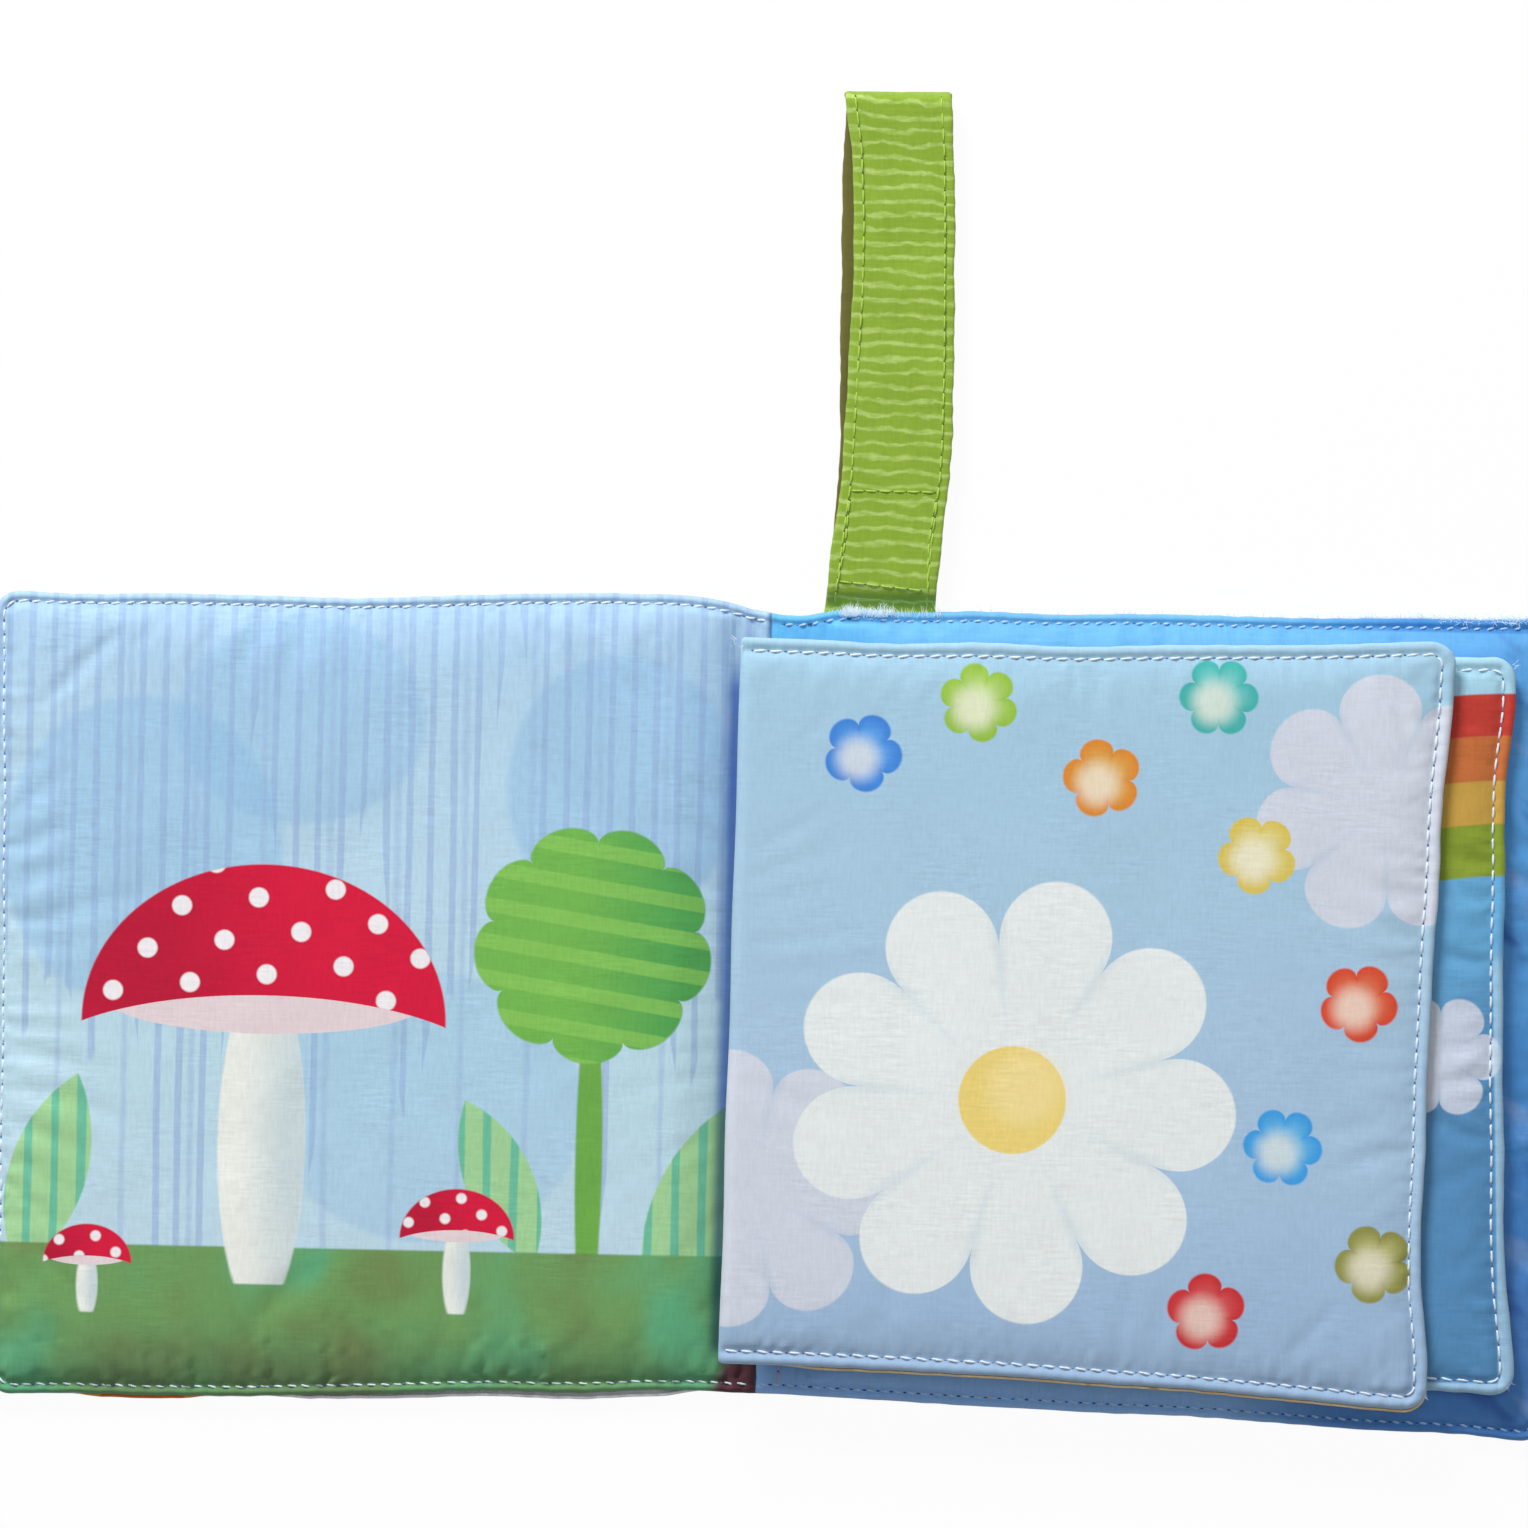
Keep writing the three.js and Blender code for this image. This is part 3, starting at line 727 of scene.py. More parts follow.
def draw_meadow(board: Board, shapes: PrintShapes, place: Socket) -> Socket:
    """Pale striped sky over a green meadow with toadstools, a round tree and leaves, and a painted shadow by
    the gutter.
    """
    sky = upward(board, place, -50, 78, [(0, "#bfdbea"), (0.35, "#bddcea"), (0.7, "#b6d6ea"), (1, "#a9cbe7")])
    painter = Painter(board, shapes, place, sky)
    for centre, half, strength in SKY_PATCHES:
        painter.lay(painter.patch(centre, half, 0, 1.0).outputs["Mask"], colour("#8fbfe4"), strength)
    x, y = board.split(place)
    ends = board.noise(board.scaled(place, 1, 0.0, 0), 21, 1)
    stop_height = board.times(board.minus(ends, 0.5), 420)
    long_enough = board.between(board.minus(y, stop_height), -1, 1)
    bars = board.group(shapes.bars, Place=place, Pitch=4.3, Width=1.25)
    painter.lay(board.times(bars.outputs["Mask"], long_enough), colour("#96b3dc"), 0.6)
    moved = board.vector("ADD", place, (2.1, 40.0, 0.0))
    fine_bars = board.group(shapes.bars, Place=moved, Pitch=12.9, Width=1.0)
    painter.lay(fine_bars.outputs["Mask"], colour("#9ab8de"), 0.45)
    pale_leaf = (colour("#a3d49a"), colour("#6cc0a0"))
    painter.leaf((-139, -36), 40, 15, -16, pale_leaf, True)
    painter.leaf((-52, -36), 34, 13, 24, pale_leaf, True)
    painter.leaf((-14, -40), 46, 17, -22, pale_leaf, True)
    trunk = painter.patch((-35, -32), (2.6, 32), 0, 0.3)
    painter.lay(trunk.outputs["Mask"], colour("#6fae4a"))
    crown = painter.petals((-35, 10), 23, 9, 0.16, 12)
    crown_mask = crown.outputs["Mask"]
    painter.lay(crown_mask, colour("#74b850"))
    side_on = board.between(x, -42, -16)
    painter.lay(board.times(crown_mask, side_on), colour("#3f9b52"), 0.75)
    bands = board.math("SINE", board.plus(board.times(y, 0.9), board.times(x, 0.14)))
    band_mask = board.between(bands, 0.1, 0.45)
    painter.lay(board.times(crown_mask, band_mask), colour("#8fcb5e"), 0.6)
    ground = board.between(y, GROUND_HEIGHT - 0.3, GROUND_HEIGHT + 0.3, 1, 0)
    mottle = board.noise(place, 30, 2)
    grass = board.ramp(mottle, [(0.3, colour("#5fb080")), (0.5, colour("#6f9f5e")), (0.7, colour("#74824a"))])
    painter.lay(ground, grass)
    low_shade = board.between(y, -78, -60, 1, 0)
    painter.lay(board.times(low_shade, ground), colour("#5b8f6c"), 0.45)
    soil = painter.patch((-4.4, -80), (6.8, 15), 8, 1.6)
    painter.lay(soil.outputs["Mask"], colour("#55303a"))
    painter.toadstool((-98, -6), 70, GROUND_HEIGHT - 7)
    painter.toadstool((-60, -47), 22, GROUND_HEIGHT - 12)
    painter.toadstool((-131, -53), 17, GROUND_HEIGHT - 13)
    # Painted shadow: a soft blue darkening on the page along the gutter, beside leaf 1's fold.
    leaning = board.minus(x, board.times(y, 0.009))
    gutter_shadow = board.times(board.between(leaning, -11.6, -9.2), board.between(y, 58, 67, 1, 0))
    gutter_shadow = board.times(gutter_shadow, board.between(y, -70, -66))
    return board.mix(gutter_shadow, painter.paint, colour("#8aa2d6"), "MULTIPLY")


def draw_daisies(board: Board, shapes: PrintShapes, place: Socket) -> Socket:
    """Light blue with one large white daisy, two pale ones and small coloured blossoms."""
    sky = upward(board, place, -75, 70, [(0, "#9fbcdc"), (0.35, "#a9c7e2"), (0.7, "#a9cbe2"), (1, "#a4cbe2")])
    painter = Painter(board, shapes, place, sky)
    painter.daisy((116, 40), 25, "#d3d9e6", "#bccbe0", "", 7, 10)
    painter.daisy((-4, -36), 27, "#d3d9e6", "#bccbe0", "", 7, 0)
    painter.daisy((46, -18), 43, "#e9efee", "#cfdde6", "#f0d77c", 9, 4)
    for centre, tone, deep, count, turn in (
        ((16, 48), "#62a8ee", "#3f86dc", 5, 8),
        ((38, 58), "#b6d57c", "#94c03f", 6, 20),
        ((62, 44), "#dfae5c", "#e08a2c", 5, 40),
        ((84, 60), "#7cc8c6", "#3fb2ac", 6, 0),
        ((92, 30), "#e3d998", "#dcc558", 5, 25),
        ((112, 2), "#e57a55", "#dd4a2c", 5, 12),
        ((98, -26), "#6fbdea", "#3ba0e6", 6, 5),
        ((116, -48), "#b9b876", "#94954a", 5, 30),
        ((84, -58), "#d9585a", "#cf2f33", 5, 50),
    ):
        painter.blossom(centre, 7.6, tone, deep, count, turn)
    return painter.paint


# Middle of the rainbow on leaf 2, and the radius of each band's outer edge, in mm
RAINBOW_CENTRE = (142.0, -58.0)
RAINBOW_BANDS = (
    (119.9, "#c43a2e"),
    (111.8, "#c87038"),
    (103.2, "#cba247"),
    (94.9, "#8aa02f"),
    (84.9, "#68aedc"),
)

# Where the pale rim along leaf 2's fore edge starts halfway up, in mm, and how far it leans
PALE_RIM_X = 138.1
PALE_RIM_LEAN = 0.034


def draw_rainbow(board: Board, shapes: PrintShapes, place: Socket) -> Socket:
    """Sky with broad rainbow bands, two pale flowers and a pale rim."""
    sky = upward(board, place, -72, 70, [(0, "#5f98c9"), (0.4, "#599cd4"), (0.6, "#64b0de"), (1, "#a7d3e6")])
    painter = Painter(board, shapes, place, sky)
    for radius, code in RAINBOW_BANDS:
        band = painter.patch(RAINBOW_CENTRE, (radius, radius))
        painter.lay(band.outputs["Mask"], colour(code))
    inside = painter.patch(RAINBOW_CENTRE, (62, 62), 0, 20)
    painter.lay(inside.outputs["Mask"], colour("#4f86b8"), 0.8)
    painter.daisy((128, -8), 12, "#ccd6e8", "#b0c4e0", "", 6, 0)
    painter.daisy((44, -48), 20, "#d8e2ee", "#b9cde4", "#f0d77c", 8, 0)
    x, y = board.split(place)
    edge = board.minus(board.plus(x, board.times(y, PALE_RIM_LEAN)), PALE_RIM_X)
    fore_rim = board.times(board.between(edge, -0.2, 0.3), board.between(y, 8, 14, 1, 0))
    for rim in (fore_rim, board.between(y, -70.9, -70.4, 1, 0)):
        painter.lay(rim, colour("#b5d8ec"), 0.6)
    return painter.paint


# Middle and radius of each bubble on the back cover's page, in mm
BUBBLES = (((40, 20), 7), ((70, 34), 10), ((96, 14), 6), ((58, -12), 5), ((112, -18), 8), ((30, -38), 6))


def draw_deep(board: Board, shapes: PrintShapes, place: Socket) -> Socket:
    """Bright sky over rows of darker waves, with rings of bubbles, painted highlights and shade on the satin
    folds, and painted light along the foot.
    """
    # The palest stops at the foot are partly painted light, which offsets the shade under the leaves there.
    stops = [(0, "#a2c2fa"), (0.06, "#92b8f4"), (0.2, "#3f88d4"), (0.6, "#4a92d6"), (1, "#6cb6e8")]
    painter = Painter(board, shapes, place, upward(board, place, -82, 77, stops))
    x, y = board.split(place)
    left = board.between(x, 8, 24, 1, 0)
    painter.lay(board.times(left, board.between(y, -20, 60)), colour("#62bdf2"), 0.75)
    painter.lay(board.times(left, board.between(y, -60, -40, 1, 0)), colour("#6b8ccc"), 0.6)
    right = board.times(board.between(x, 88, 146), board.between(y, -60, 30))
    painter.lay(right, colour("#56a0e0"), 0.8)
    low_right = board.times(board.between(x, 112, 128), board.between(y, -66, -60, 1, 0))
    painter.lay(low_right, colour("#4a76bc"), 0.9)
    far_top = board.times(board.between(x, 84, 128), board.between(y, 73.2, 73.8))
    painter.lay(far_top, colour("#3583cc"), 0.8)
    for level, code in ((-2, "#4790d6"), (-26, "#4488d0"), (-48, "#4b84cc")):
        crest = board.times(board.math("SINE", board.over(x, 6.5)), 2.6)
        edge = board.minus(y, board.plus(crest, float(level)))
        painter.lay(board.between(edge, -0.3, 0.3, 1, 0), colour(code), 0.6)
    # Painted light: a pale band at the foot that offsets the shade under leaf 1.
    foot_painted_light = board.times(board.between(x, 84, 112, 1, 0), board.between(y, -71, -66, 1, 0))
    painter.lay(foot_painted_light, colour("#94c2f8"), 0.85)
    # Painted highlights and painted shade of the satin folds near the fore edge: lighter and darker slanting
    # streaks.
    slanted = board.node("ShaderNodeVectorRotate", rotation_type="Z_AXIS")
    board.feed(slanted.inputs["Vector"], place)
    slanted.inputs["Angle"].default_value = math.radians(35)
    fold_light_and_shade = board.noise(board.scaled(slanted.outputs[0], 0.35, 1), 7, 2)
    far_right = board.between(x, 128, 142)
    painter.lay(board.times(far_right, board.between(fold_light_and_shade, 0.54, 0.72)), colour("#84a8e0"), 0.6)
    painter.lay(board.times(far_right, board.between(fold_light_and_shade, 0.28, 0.44, 1, 0)), colour("#2c55ac"), 0.7)
    for centre, radius in BUBBLES:
        outer = painter.patch(centre, (radius, radius)).outputs["Mask"]
        inner = painter.patch(centre, (radius * 0.82, radius * 0.82)).outputs["Mask"]
        painter.lay(board.minus(outer, inner), colour("#c9e6f8"), 0.9)
    return painter.paint


def draw_bubbles(board: Board, shapes: PrintShapes, place: Socket) -> Socket:
    """Blue ground with pale dots in two sizes."""
    ground = upward(board, place, -72, 72, [(0, "#4b83be"), (0.5, "#5c9ad0"), (1, "#7cb6df")])
    painter = Painter(board, shapes, place, ground)
    large = board.group(shapes.dots, Place=place, Pitch=24.0, Radius=5.0)
    painter.lay(large.outputs["Mask"], colour("#c3dff2"), 0.85)
    moved = board.vector("ADD", place, (7.0, 4.0, 0.0))
    small = board.group(shapes.dots, Place=moved, Pitch=12.0, Radius=1.3)
    painter.lay(small.outputs["Mask"], colour("#f1d07a"), 0.9)
    return painter.paint


def draw_sand(board: Board, shapes: PrintShapes, place: Socket) -> Socket:
    """Sand with small dots under a pale sky, and star-like flowers."""
    _, y = board.split(board.shifted(place, 30, 3))
    ground = board.ramp(board.noise(place, 26, 2), [(0.3, colour("#e2c493")), (0.7, colour("#edd7ae"))])
    painter = Painter(board, shapes, place, ground)
    painter.lay(board.between(y, 7.5, 8.5), colour("#9fd0e8"))
    painter.lay(board.between(y, 30, 60), colour("#bfe0ee"), 0.8)
    dots = board.group(shapes.dots, Place=place, Pitch=9.0, Radius=0.9)
    painter.lay(board.times(dots.outputs["Mask"], board.between(y, 6, 7, 1, 0)), colour("#c99a62"), 0.7)
    for centre, tone, deep, turn in (
        ((-20, -22), "#ee8a5c", "#dd5a34", 10),
        ((-62, -44), "#f0b45c", "#e2912c", 30),
        ((-96, -20), "#e2667c", "#cf3a5c", 0),
        ((-118, -54), "#74c3bd", "#3fa7a2", 20),
        ((-40, 36), "#f3efe6", "#dfe6ee", 5),
        ((-90, 44), "#f3efe6", "#dfe6ee", 15),
    ):
        painter.blossom(centre, 11, tone, deep, 5, turn)
    return painter.paint


def draw_outside(board: Board, shapes: PrintShapes, place: Socket) -> Socket:
    """Lavender blue, near white at the foot, with pale dots and large orange suns; the near white is partly
    painted light.
    """
    # Pale lavender at the foot, pushed to near white as painted light where the edge that shows below the
    # page lies in shade.
    stops = [(0, "#f7f5ff"), (0.1, "#e6e8f8"), (0.5, "#bccbec"), (1, "#a9c3ea")]
    painter = Painter(board, shapes, place, upward(board, place, -78, 78, stops))
    small = board.group(shapes.dots, Place=place, Pitch=13.0, Radius=1.5)
    painter.lay(small.outputs["Mask"], colour("#f4f6fa"), 0.9)
    for centre, radius in (((-120, -82), 13), ((-66, -8), 36), ((-24, 58), 20), ((-120, 48), 22)):
        painter.lay(painter.petals(centre, radius, 14, 0.14).outputs["Mask"], colour("#f0a848"))
        painter.lay(painter.patch(centre, (radius * 0.66, radius * 0.66)).outputs["Mask"], colour("#e8762c"))
    return painter.paint


def draw_strap_lines(board: Board, shapes: PrintShapes, place: Socket) -> Socket:
    """Green cotton with thin pale lines that waver across the strap."""
    base = board.mix(board.noise(place, 9, 3, 0.6), colour("#7f9f2c"), colour("#93b43c"))
    flat = board.scaled(place, 1, 1, 0)
    wavy = board.shifted(board.shifted(board.scaled(flat, 0.75, 1, 0), 5.0, 1.5), 1.6, 0.5)
    x, y = board.split(wavy)
    y = board.plus(y, board.times(x, 0.05))
    turn = board.math("FRACT", board.over(y, 2.75))
    off = board.math("ABSOLUTE", board.minus(turn, 0.5))
    uneven = board.times(board.noise(board.scaled(flat, 0.3, 1, 0), 2.6, 2), 0.2)
    line = board.between(board.minus(off, uneven), -0.03, 0.13, 1, 0)
    painter = Painter(board, shapes, place, base)
    worn = board.noise(board.scaled(flat, 0.6, 2), 1.5, 2)
    painter.lay(line, colour("#b9d277"), board.between(worn, 0.3, 0.7, 0.3, 0.85))
    painter.lay(board.between(board.upright(place), *MARK_EDGE), colour("#6a672f"))
    return painter.paint


# Finishes


Drawing = Callable[[Board, PrintShapes, Socket], Socket]


@dataclass(frozen=True)
class ClothFinish:
    """A printed or plain cloth."""

    name: str
    draw: Drawing
    roughness: float = 0.82
    sheen: float = 0.18
    weave_pitch: float = 0.46
    weave_height: float = 0.05
    slub: float = 0.24
    cloud: float = 0.10
    # Emission strength: painted light, a glow given to a cloth that is no lamp
    glow: float = 0.0

    def material(self, shapes: PrintShapes) -> bpy.types.Material:
        """Makes the cloth's material.

        Args:
            shapes: The shared print groups.

        Returns:
            The material.
        """
        made = bpy.data.materials.new(self.name)
        made.use_nodes = True
        board = Board(made.node_tree)
        shader = made.node_tree.nodes["Principled BSDF"]
        place = board.node("ShaderNodeAttribute", attribute_name=CLOTH_PLACE).outputs["Vector"]
        paint = self.draw(board, shapes, place)
        sizes = {"Pitch": self.weave_pitch, "Slub": self.slub, "Cloud": self.cloud}
        weave = board.group(shapes.weave, Place=place, **sizes)
        tinted = board.vector("SCALE", paint, (0, 0, 0), (0, 0, 0), weave.outputs["Tint"])
        board.feed(shader.inputs["Base Color"], tinted)
        bump = board.node("ShaderNodeBump")
        bump.inputs["Strength"].default_value = 0.5
        bump.inputs["Distance"].default_value = self.weave_height * MM
        board.feed(bump.inputs["Height"], weave.outputs["Height"])
        board.feed(shader.inputs["Normal"], bump.outputs[0])
        shader.inputs["Roughness"].default_value = self.roughness
        shader.inputs["Sheen Weight"].default_value = self.sheen
        shader.inputs["Sheen Roughness"].default_value = 0.5
        shader.inputs["Specular IOR Level"].default_value = 0.25
        # Painted light: the cloth gives off its own colour as light.
        if self.glow:
            board.feed(shader.inputs["Emission Color"], paint)
            shader.inputs["Emission Strength"].default_value = self.glow
        return made


def plain(light: str, dark: str, patch: float) -> Drawing:
    """Gives a drawing of one uneven colour.

    Args:
        light: Its lighter tone.
        dark: Its darker tone.
        patch: Size of the uneven patches, in mm.

    Returns:
        The drawing function.
    """

    def draw(board: Board, shapes: PrintShapes, place: Socket) -> Socket:
        """Mixes the two tones by noise."""
        return board.mix(board.noise(place, patch, 3, 0.6), colour(dark), colour(light))

    return draw


def threaded(light: str, dark: str, hole: str) -> Drawing:
    """Gives a drawing of twisted thread with the painted shade of its needle holes.

    Args:
        light: The thread's lighter tone.
        dark: Its darker tone.
        hole: Colour of the holes, which is painted shade.

    Returns:
        The drawing function.
    """

    def draw(board: Board, shapes: PrintShapes, place: Socket) -> Socket:
        """Mixes the thread's tones by noise and lays the holes' painted shade over them."""
        thread = board.mix(board.noise(place, 0.6, 3, 0.6), colour(dark), colour(light))
        return board.mix(board.between(board.upright(place), *MARK_EDGE), thread, colour(hole))

    return draw


class Wardrobe:
    """Every finish of the book, made once."""

    def __init__(self) -> None:
        """Makes the shared groups and the materials."""
        shapes = PrintShapes()
        finishes = {
            "meadow": ClothFinish("pale_meadow_print", draw_meadow),
            "daisies": ClothFinish("daisy_print", draw_daisies, slub=0.2),
            "rainbow": ClothFinish("rainbow_print", draw_rainbow, roughness=0.72, sheen=0.25),
            "deep": ClothFinish("deep_blue_print", draw_deep, roughness=0.6, sheen=0.3),
            "bubbles": ClothFinish("bubble_print", draw_bubbles),
            "sand": ClothFinish("sand_print", draw_sand),
            "outside": ClothFinish("orange_sun_print", draw_outside),
            "tail": ClothFinish("leaf_tail_cloth", plain("#a9cae2", "#8fb4d8", 18)),
            "strap": ClothFinish("green_strap_cotton", draw_strap_lines, weave_height=0.07),
            "plush": ClothFinish("white_plush_cloth", plain("#f6f9fc", "#dfe9f4", 2.2), 0.95, 0.5, 0.9, 0.4),
            # The pile's glow is painted light, which brightens its white strands in their own shade.
            "fuzz": ClothFinish(
                "white_plush_pile", plain("#f7fbff", "#d9ebf8", 1.2), 0.95, 0.5, 0.9, 0.0, glow=0.25
            ),
            "wadding": ClothFinish("soft_wadding", plain("#fbfbf7", "#e9e9e2", 3), 1.0, 0.4, 1.2, 0.3),
            "film": ClothFinish("crinkle_film", plain("#eef3f6", "#cfd9df", 5), 0.25, 0.0, 2.0, 0.2),
            "hooks": ClothFinish("hook_tape", plain("#7b9a30", "#5c7a20", 0.8), 0.6, 0.0, 1.0, 0.3),
            "loops": ClothFinish("loop_tape", plain("#8fae44", "#6f8f2c", 1.4), 0.95, 0.5, 0.7, 0.3),
        }
        # Each thread's two tones and the dark colour of its needle holes, which is painted shade
        for key, name, tones in (
            ("pale_thread", "pale_thread", ("#fbfdff", "#c3dbee", "#52709f")),
            ("deep_thread", "blue_thread", ("#d3e8fa", "#86b8e6", "#24518f")),
            ("pink_thread", "pink_thread", ("#e3c6dc", "#bd98bd", "#4d3f78")),
            ("green_thread", "green_thread", ("#bfdc62", "#9cc43c", "#5a7a1c")),
        ):
            finishes[key] = ClothFinish(name, threaded(*tones), 0.55, 0.2, 0.3, 0.03, 0.1)
        self.materials = {key: finish.material(shapes) for key, finish in finishes.items()}

    def dress(self, piece: bpy.types.Object, key: str) -> None:
        """Gives a piece its finish."""
        piece.data.materials.clear()
        piece.data.materials.append(self.materials[key])


# Panels


# Insets of the mesh rows from a sewn edge, in mm, close together round the rolled rim
RIM_ROWS = (0.0, 0.06, 0.24, 0.52, 0.86, 1.2, 1.55, 1.9, 2.2, 2.5, 2.85, 3.3, 3.9, 4.7, 5.7, 6.9)
FOLD_ROWS = (0.0, 0.08, 0.3, 0.7, 1.2, 1.8, 2.6, 3.6, 4.8, 6.0)

# Where the two pages meet on the spine, and how far from it both are turned all the way
MEETING_X = -2.0
TURN_RUN = 6.0


# Places across the book, and how far the covers' head and foot stand beyond their plain outline there, in mm
HEMS = (
    (-150, 0.4, 0.6), (-136, 0.8, 0.8), (-120, 1.1, 1.4), (-101, 1.3, 1.9), (-84, 1.3, 1.5),
    (-67, 1.8, 1.2), (-50, 2.7, 0.9), (-33, 2.9, 0.6), (-24, 2.3, 0.4), (-15, 0.8, 0.5),
    (-6, -0.2, 0.7), (2, 0.9, 0.6), (12, 0.5, 0.8), (24, 0.2, 1.1), (44, 0.3, 1.6),
    (62, 0.7, 1.6), (88, 0.3, 1.6), (110, 0.1, 1.9), (130, -0.2, 1.9), (150, -0.4, 1.9),
)
HEM_X, HEAD_HEM, FOOT_HEM = zip(*HEMS)

# How far the front cover's outer cloth shows below its foot, in mm
PEEK_X = (12, 20, 60, 88, 95, 108, 113, 128, 134, 152)
PEEK = (0.0, 1.4, 1.2, 0.9, 0.25, 0.3, 0.7, 0.7, 0.25, 0.1)

# How far leaf 1's back cloth shows below its foot, in mm
LEAF_PEEK = 0.55

# Distance of the mesh rows in the middle of a page that shows, and of one that doesn't, in mm
FINE_STEP = 0.85
COARSE_STEP = 1.9


def edge_warp(x: Array, y: Array) -> Array:
    """How far the covers' long edges are pulled along Y, with a dip over the spine's head."""
    head = np.exp(-(((x + 15) / 9) ** 2)) * 1.3 - np.exp(-(((x - 2.6) / 6.5) ** 2)) * 2.1
    foot = np.exp(-(((x + 12) / 8) ** 2)) * 0.4
    head = head + np.interp(x, HEM_X, HEAD_HEM)
    foot = foot - np.interp(x, HEM_X, FOOT_HEM)
    return head * smooth((y - 35) / 38) + foot * smooth((-y - 35) / 38)


def row_places(
    length: float, first: Sequence[float], last: Sequence[float], step: float = COARSE_STEP
) -> Array:
    """Places of mesh rows along a length, close together at both ends."""
    start, stop = first[-1], length - last[-1]
    count = max(2, round((stop - start) / step))
    middle = np.linspace(start, stop, count + 1)[1:-1]
    return np.concatenate([first, middle, (length - np.array(last))[::-1]])


@dataclass(frozen=True)
class Panel:
    """Outline of a cover or leaf in its own frame, from the spine at root_x outwards, in mm."""

    root_x: float
    fore_x: float
    root_height: float
    fore_height: float
    draw_in: float
    turn: float
    shift_y: float = 0.0
    corner: float = 5.0
    root_corner: float = 0.0
    fanned: bool = False
    peeking: bool = False
    fore_slant: float = 0.0
    skew: float = 0.0
    flare: tuple[float, float] = (0.0, 0.0)
    wobble: float = 0.22
    seed: int = 1

    def wobbled(self, x: Array, y: Array, out: Array, side: Array, way: Array) -> tuple[Array, Array]:
        """Makes the outline waver a little, as a turned seam does.

        Args:
            x: Places across, in mm.
            y: Places along, in mm.
            out: Distance from the fore edge, in mm.
            side: Distance from the nearer long side, in mm.
            way: 1 nearer the head, -1 nearer the foot.

        Returns:
            The moved places.
        """
        held = smooth((x - self.root_x - 2) / 24) * self.wobble
        along_x, along_y = x + way * 57, y + 23
        side_move = ripple(along_x, 36, self.seed) + 0.3 * ripple(along_x, 6.5, self.seed + 1)
        out_move = ripple(along_y, 36, self.seed + 2) + 0.3 * ripple(along_y, 6.5, self.seed + 3)
        return x + held * out_move * np.exp(-out / 5), y + way * held * side_move * np.exp(-side / 5)

    @property
    def length(self) -> float:
        """From the spine side to the fore edge."""
        return self.fore_x - self.root_x

    @property
    def middle_half(self) -> float:
        """Half the height, halfway along."""
        return (self.root_height + self.fore_height) / 4

    def half_height(self, x: Array) -> Array:
        """Half the height at x, drawn in between the corners."""
        share = np.clip((x - self.root_x) / self.length, 0, 1)
        straight = (self.root_height + (self.fore_height - self.root_height) * share) / 2
        return straight - self.draw_in * 4 * share * (1 - share)

    def rounded(self, out: Array, side: Array, radius: float) -> tuple[Array, Array]:
        """Bends square rows round a corner.

        Args:
            out: Inset from the end edge, in mm.
            side: Inset from the long side, in mm.
            radius: The corner's radius, in mm.

        Returns:
            The two insets, bent.
        """
        near = (out < radius) & (side < radius)
        least = np.minimum(out, side)
        span = np.maximum(radius - least, 1e-9)
        along = (np.maximum(out, side) - least) / span
        angle = math.pi / 4 * (1 + np.where(side <= out, along, -along))
        bent_out = radius - span * np.cos(angle)
        bent_side = radius - span * np.sin(angle)
        return np.where(near, bent_out, out), np.where(near, bent_side, side)

    def places(self, from_root: Array, inset: Array, way: Array) -> tuple[Array, Array]:
        """Places of mesh points in the part's frame.

        Args:
            from_root: Distance from the spine side before the corners are bent, in mm.
            inset: Inset from the nearer long side, in mm.
            way: 1 for points nearer the head, -1 nearer the foot.

        Returns:
            X and y in mm.
        """
        out = self.length - from_root
        out, side = self.rounded(out, inset, self.corner)
        fore_moved = self.length - out
        root, root_side = self.rounded(from_root, inset, self.root_corner)
        fore_half = from_root > self.length / 2
        along = np.where(fore_half, fore_moved, root)
        side = np.where(fore_half, side, root_side)
        x = self.root_x + along
        half = self.half_height(x)
        share = np.clip(side / self.middle_half, 0, 1)
        y = way * (half - side * (1 + (half / self.middle_half - 1) * share**2))
        pulled = self.draw_in * (1 - np.clip(np.abs(y) / self.middle_half, 0, 1) ** 2)
        corners = self.flare[0] * smooth((y - 48) / 15) + self.flare[1] * smooth((-y - 48) / 18)
        pulled = pulled - self.fore_slant * y - corners
        x = x - pulled * np.clip(along / self.length, 0, 1) ** 4
        x, y = self.wobbled(x, y, self.length - along, side, way)
        if not self.fanned:
            far_x, far_y = turned(x, y, self.turn)
            peek = LEAF_PEEK * smooth((-far_y - 40) / 25) * smooth((far_x - 2) / 8) if self.peeking else 0.0
            return far_x, far_y + self.shift_y - self.skew * far_x - peek
        facing = round(self.turn / math.pi) * math.pi
        share = np.clip((x - abs(MEETING_X)) / TURN_RUN, 0, 1)
        far_x, far_y = turned(x, y, facing + (self.turn - facing) * share)
        peek = np.interp(np.abs(far_x), PEEK_X, PEEK) if self.peeking else 0.0
        warp = edge_warp(far_x, far_y) - peek * smooth((-far_y - 30) / 40)
        return far_x, far_y + self.shift_y + warp


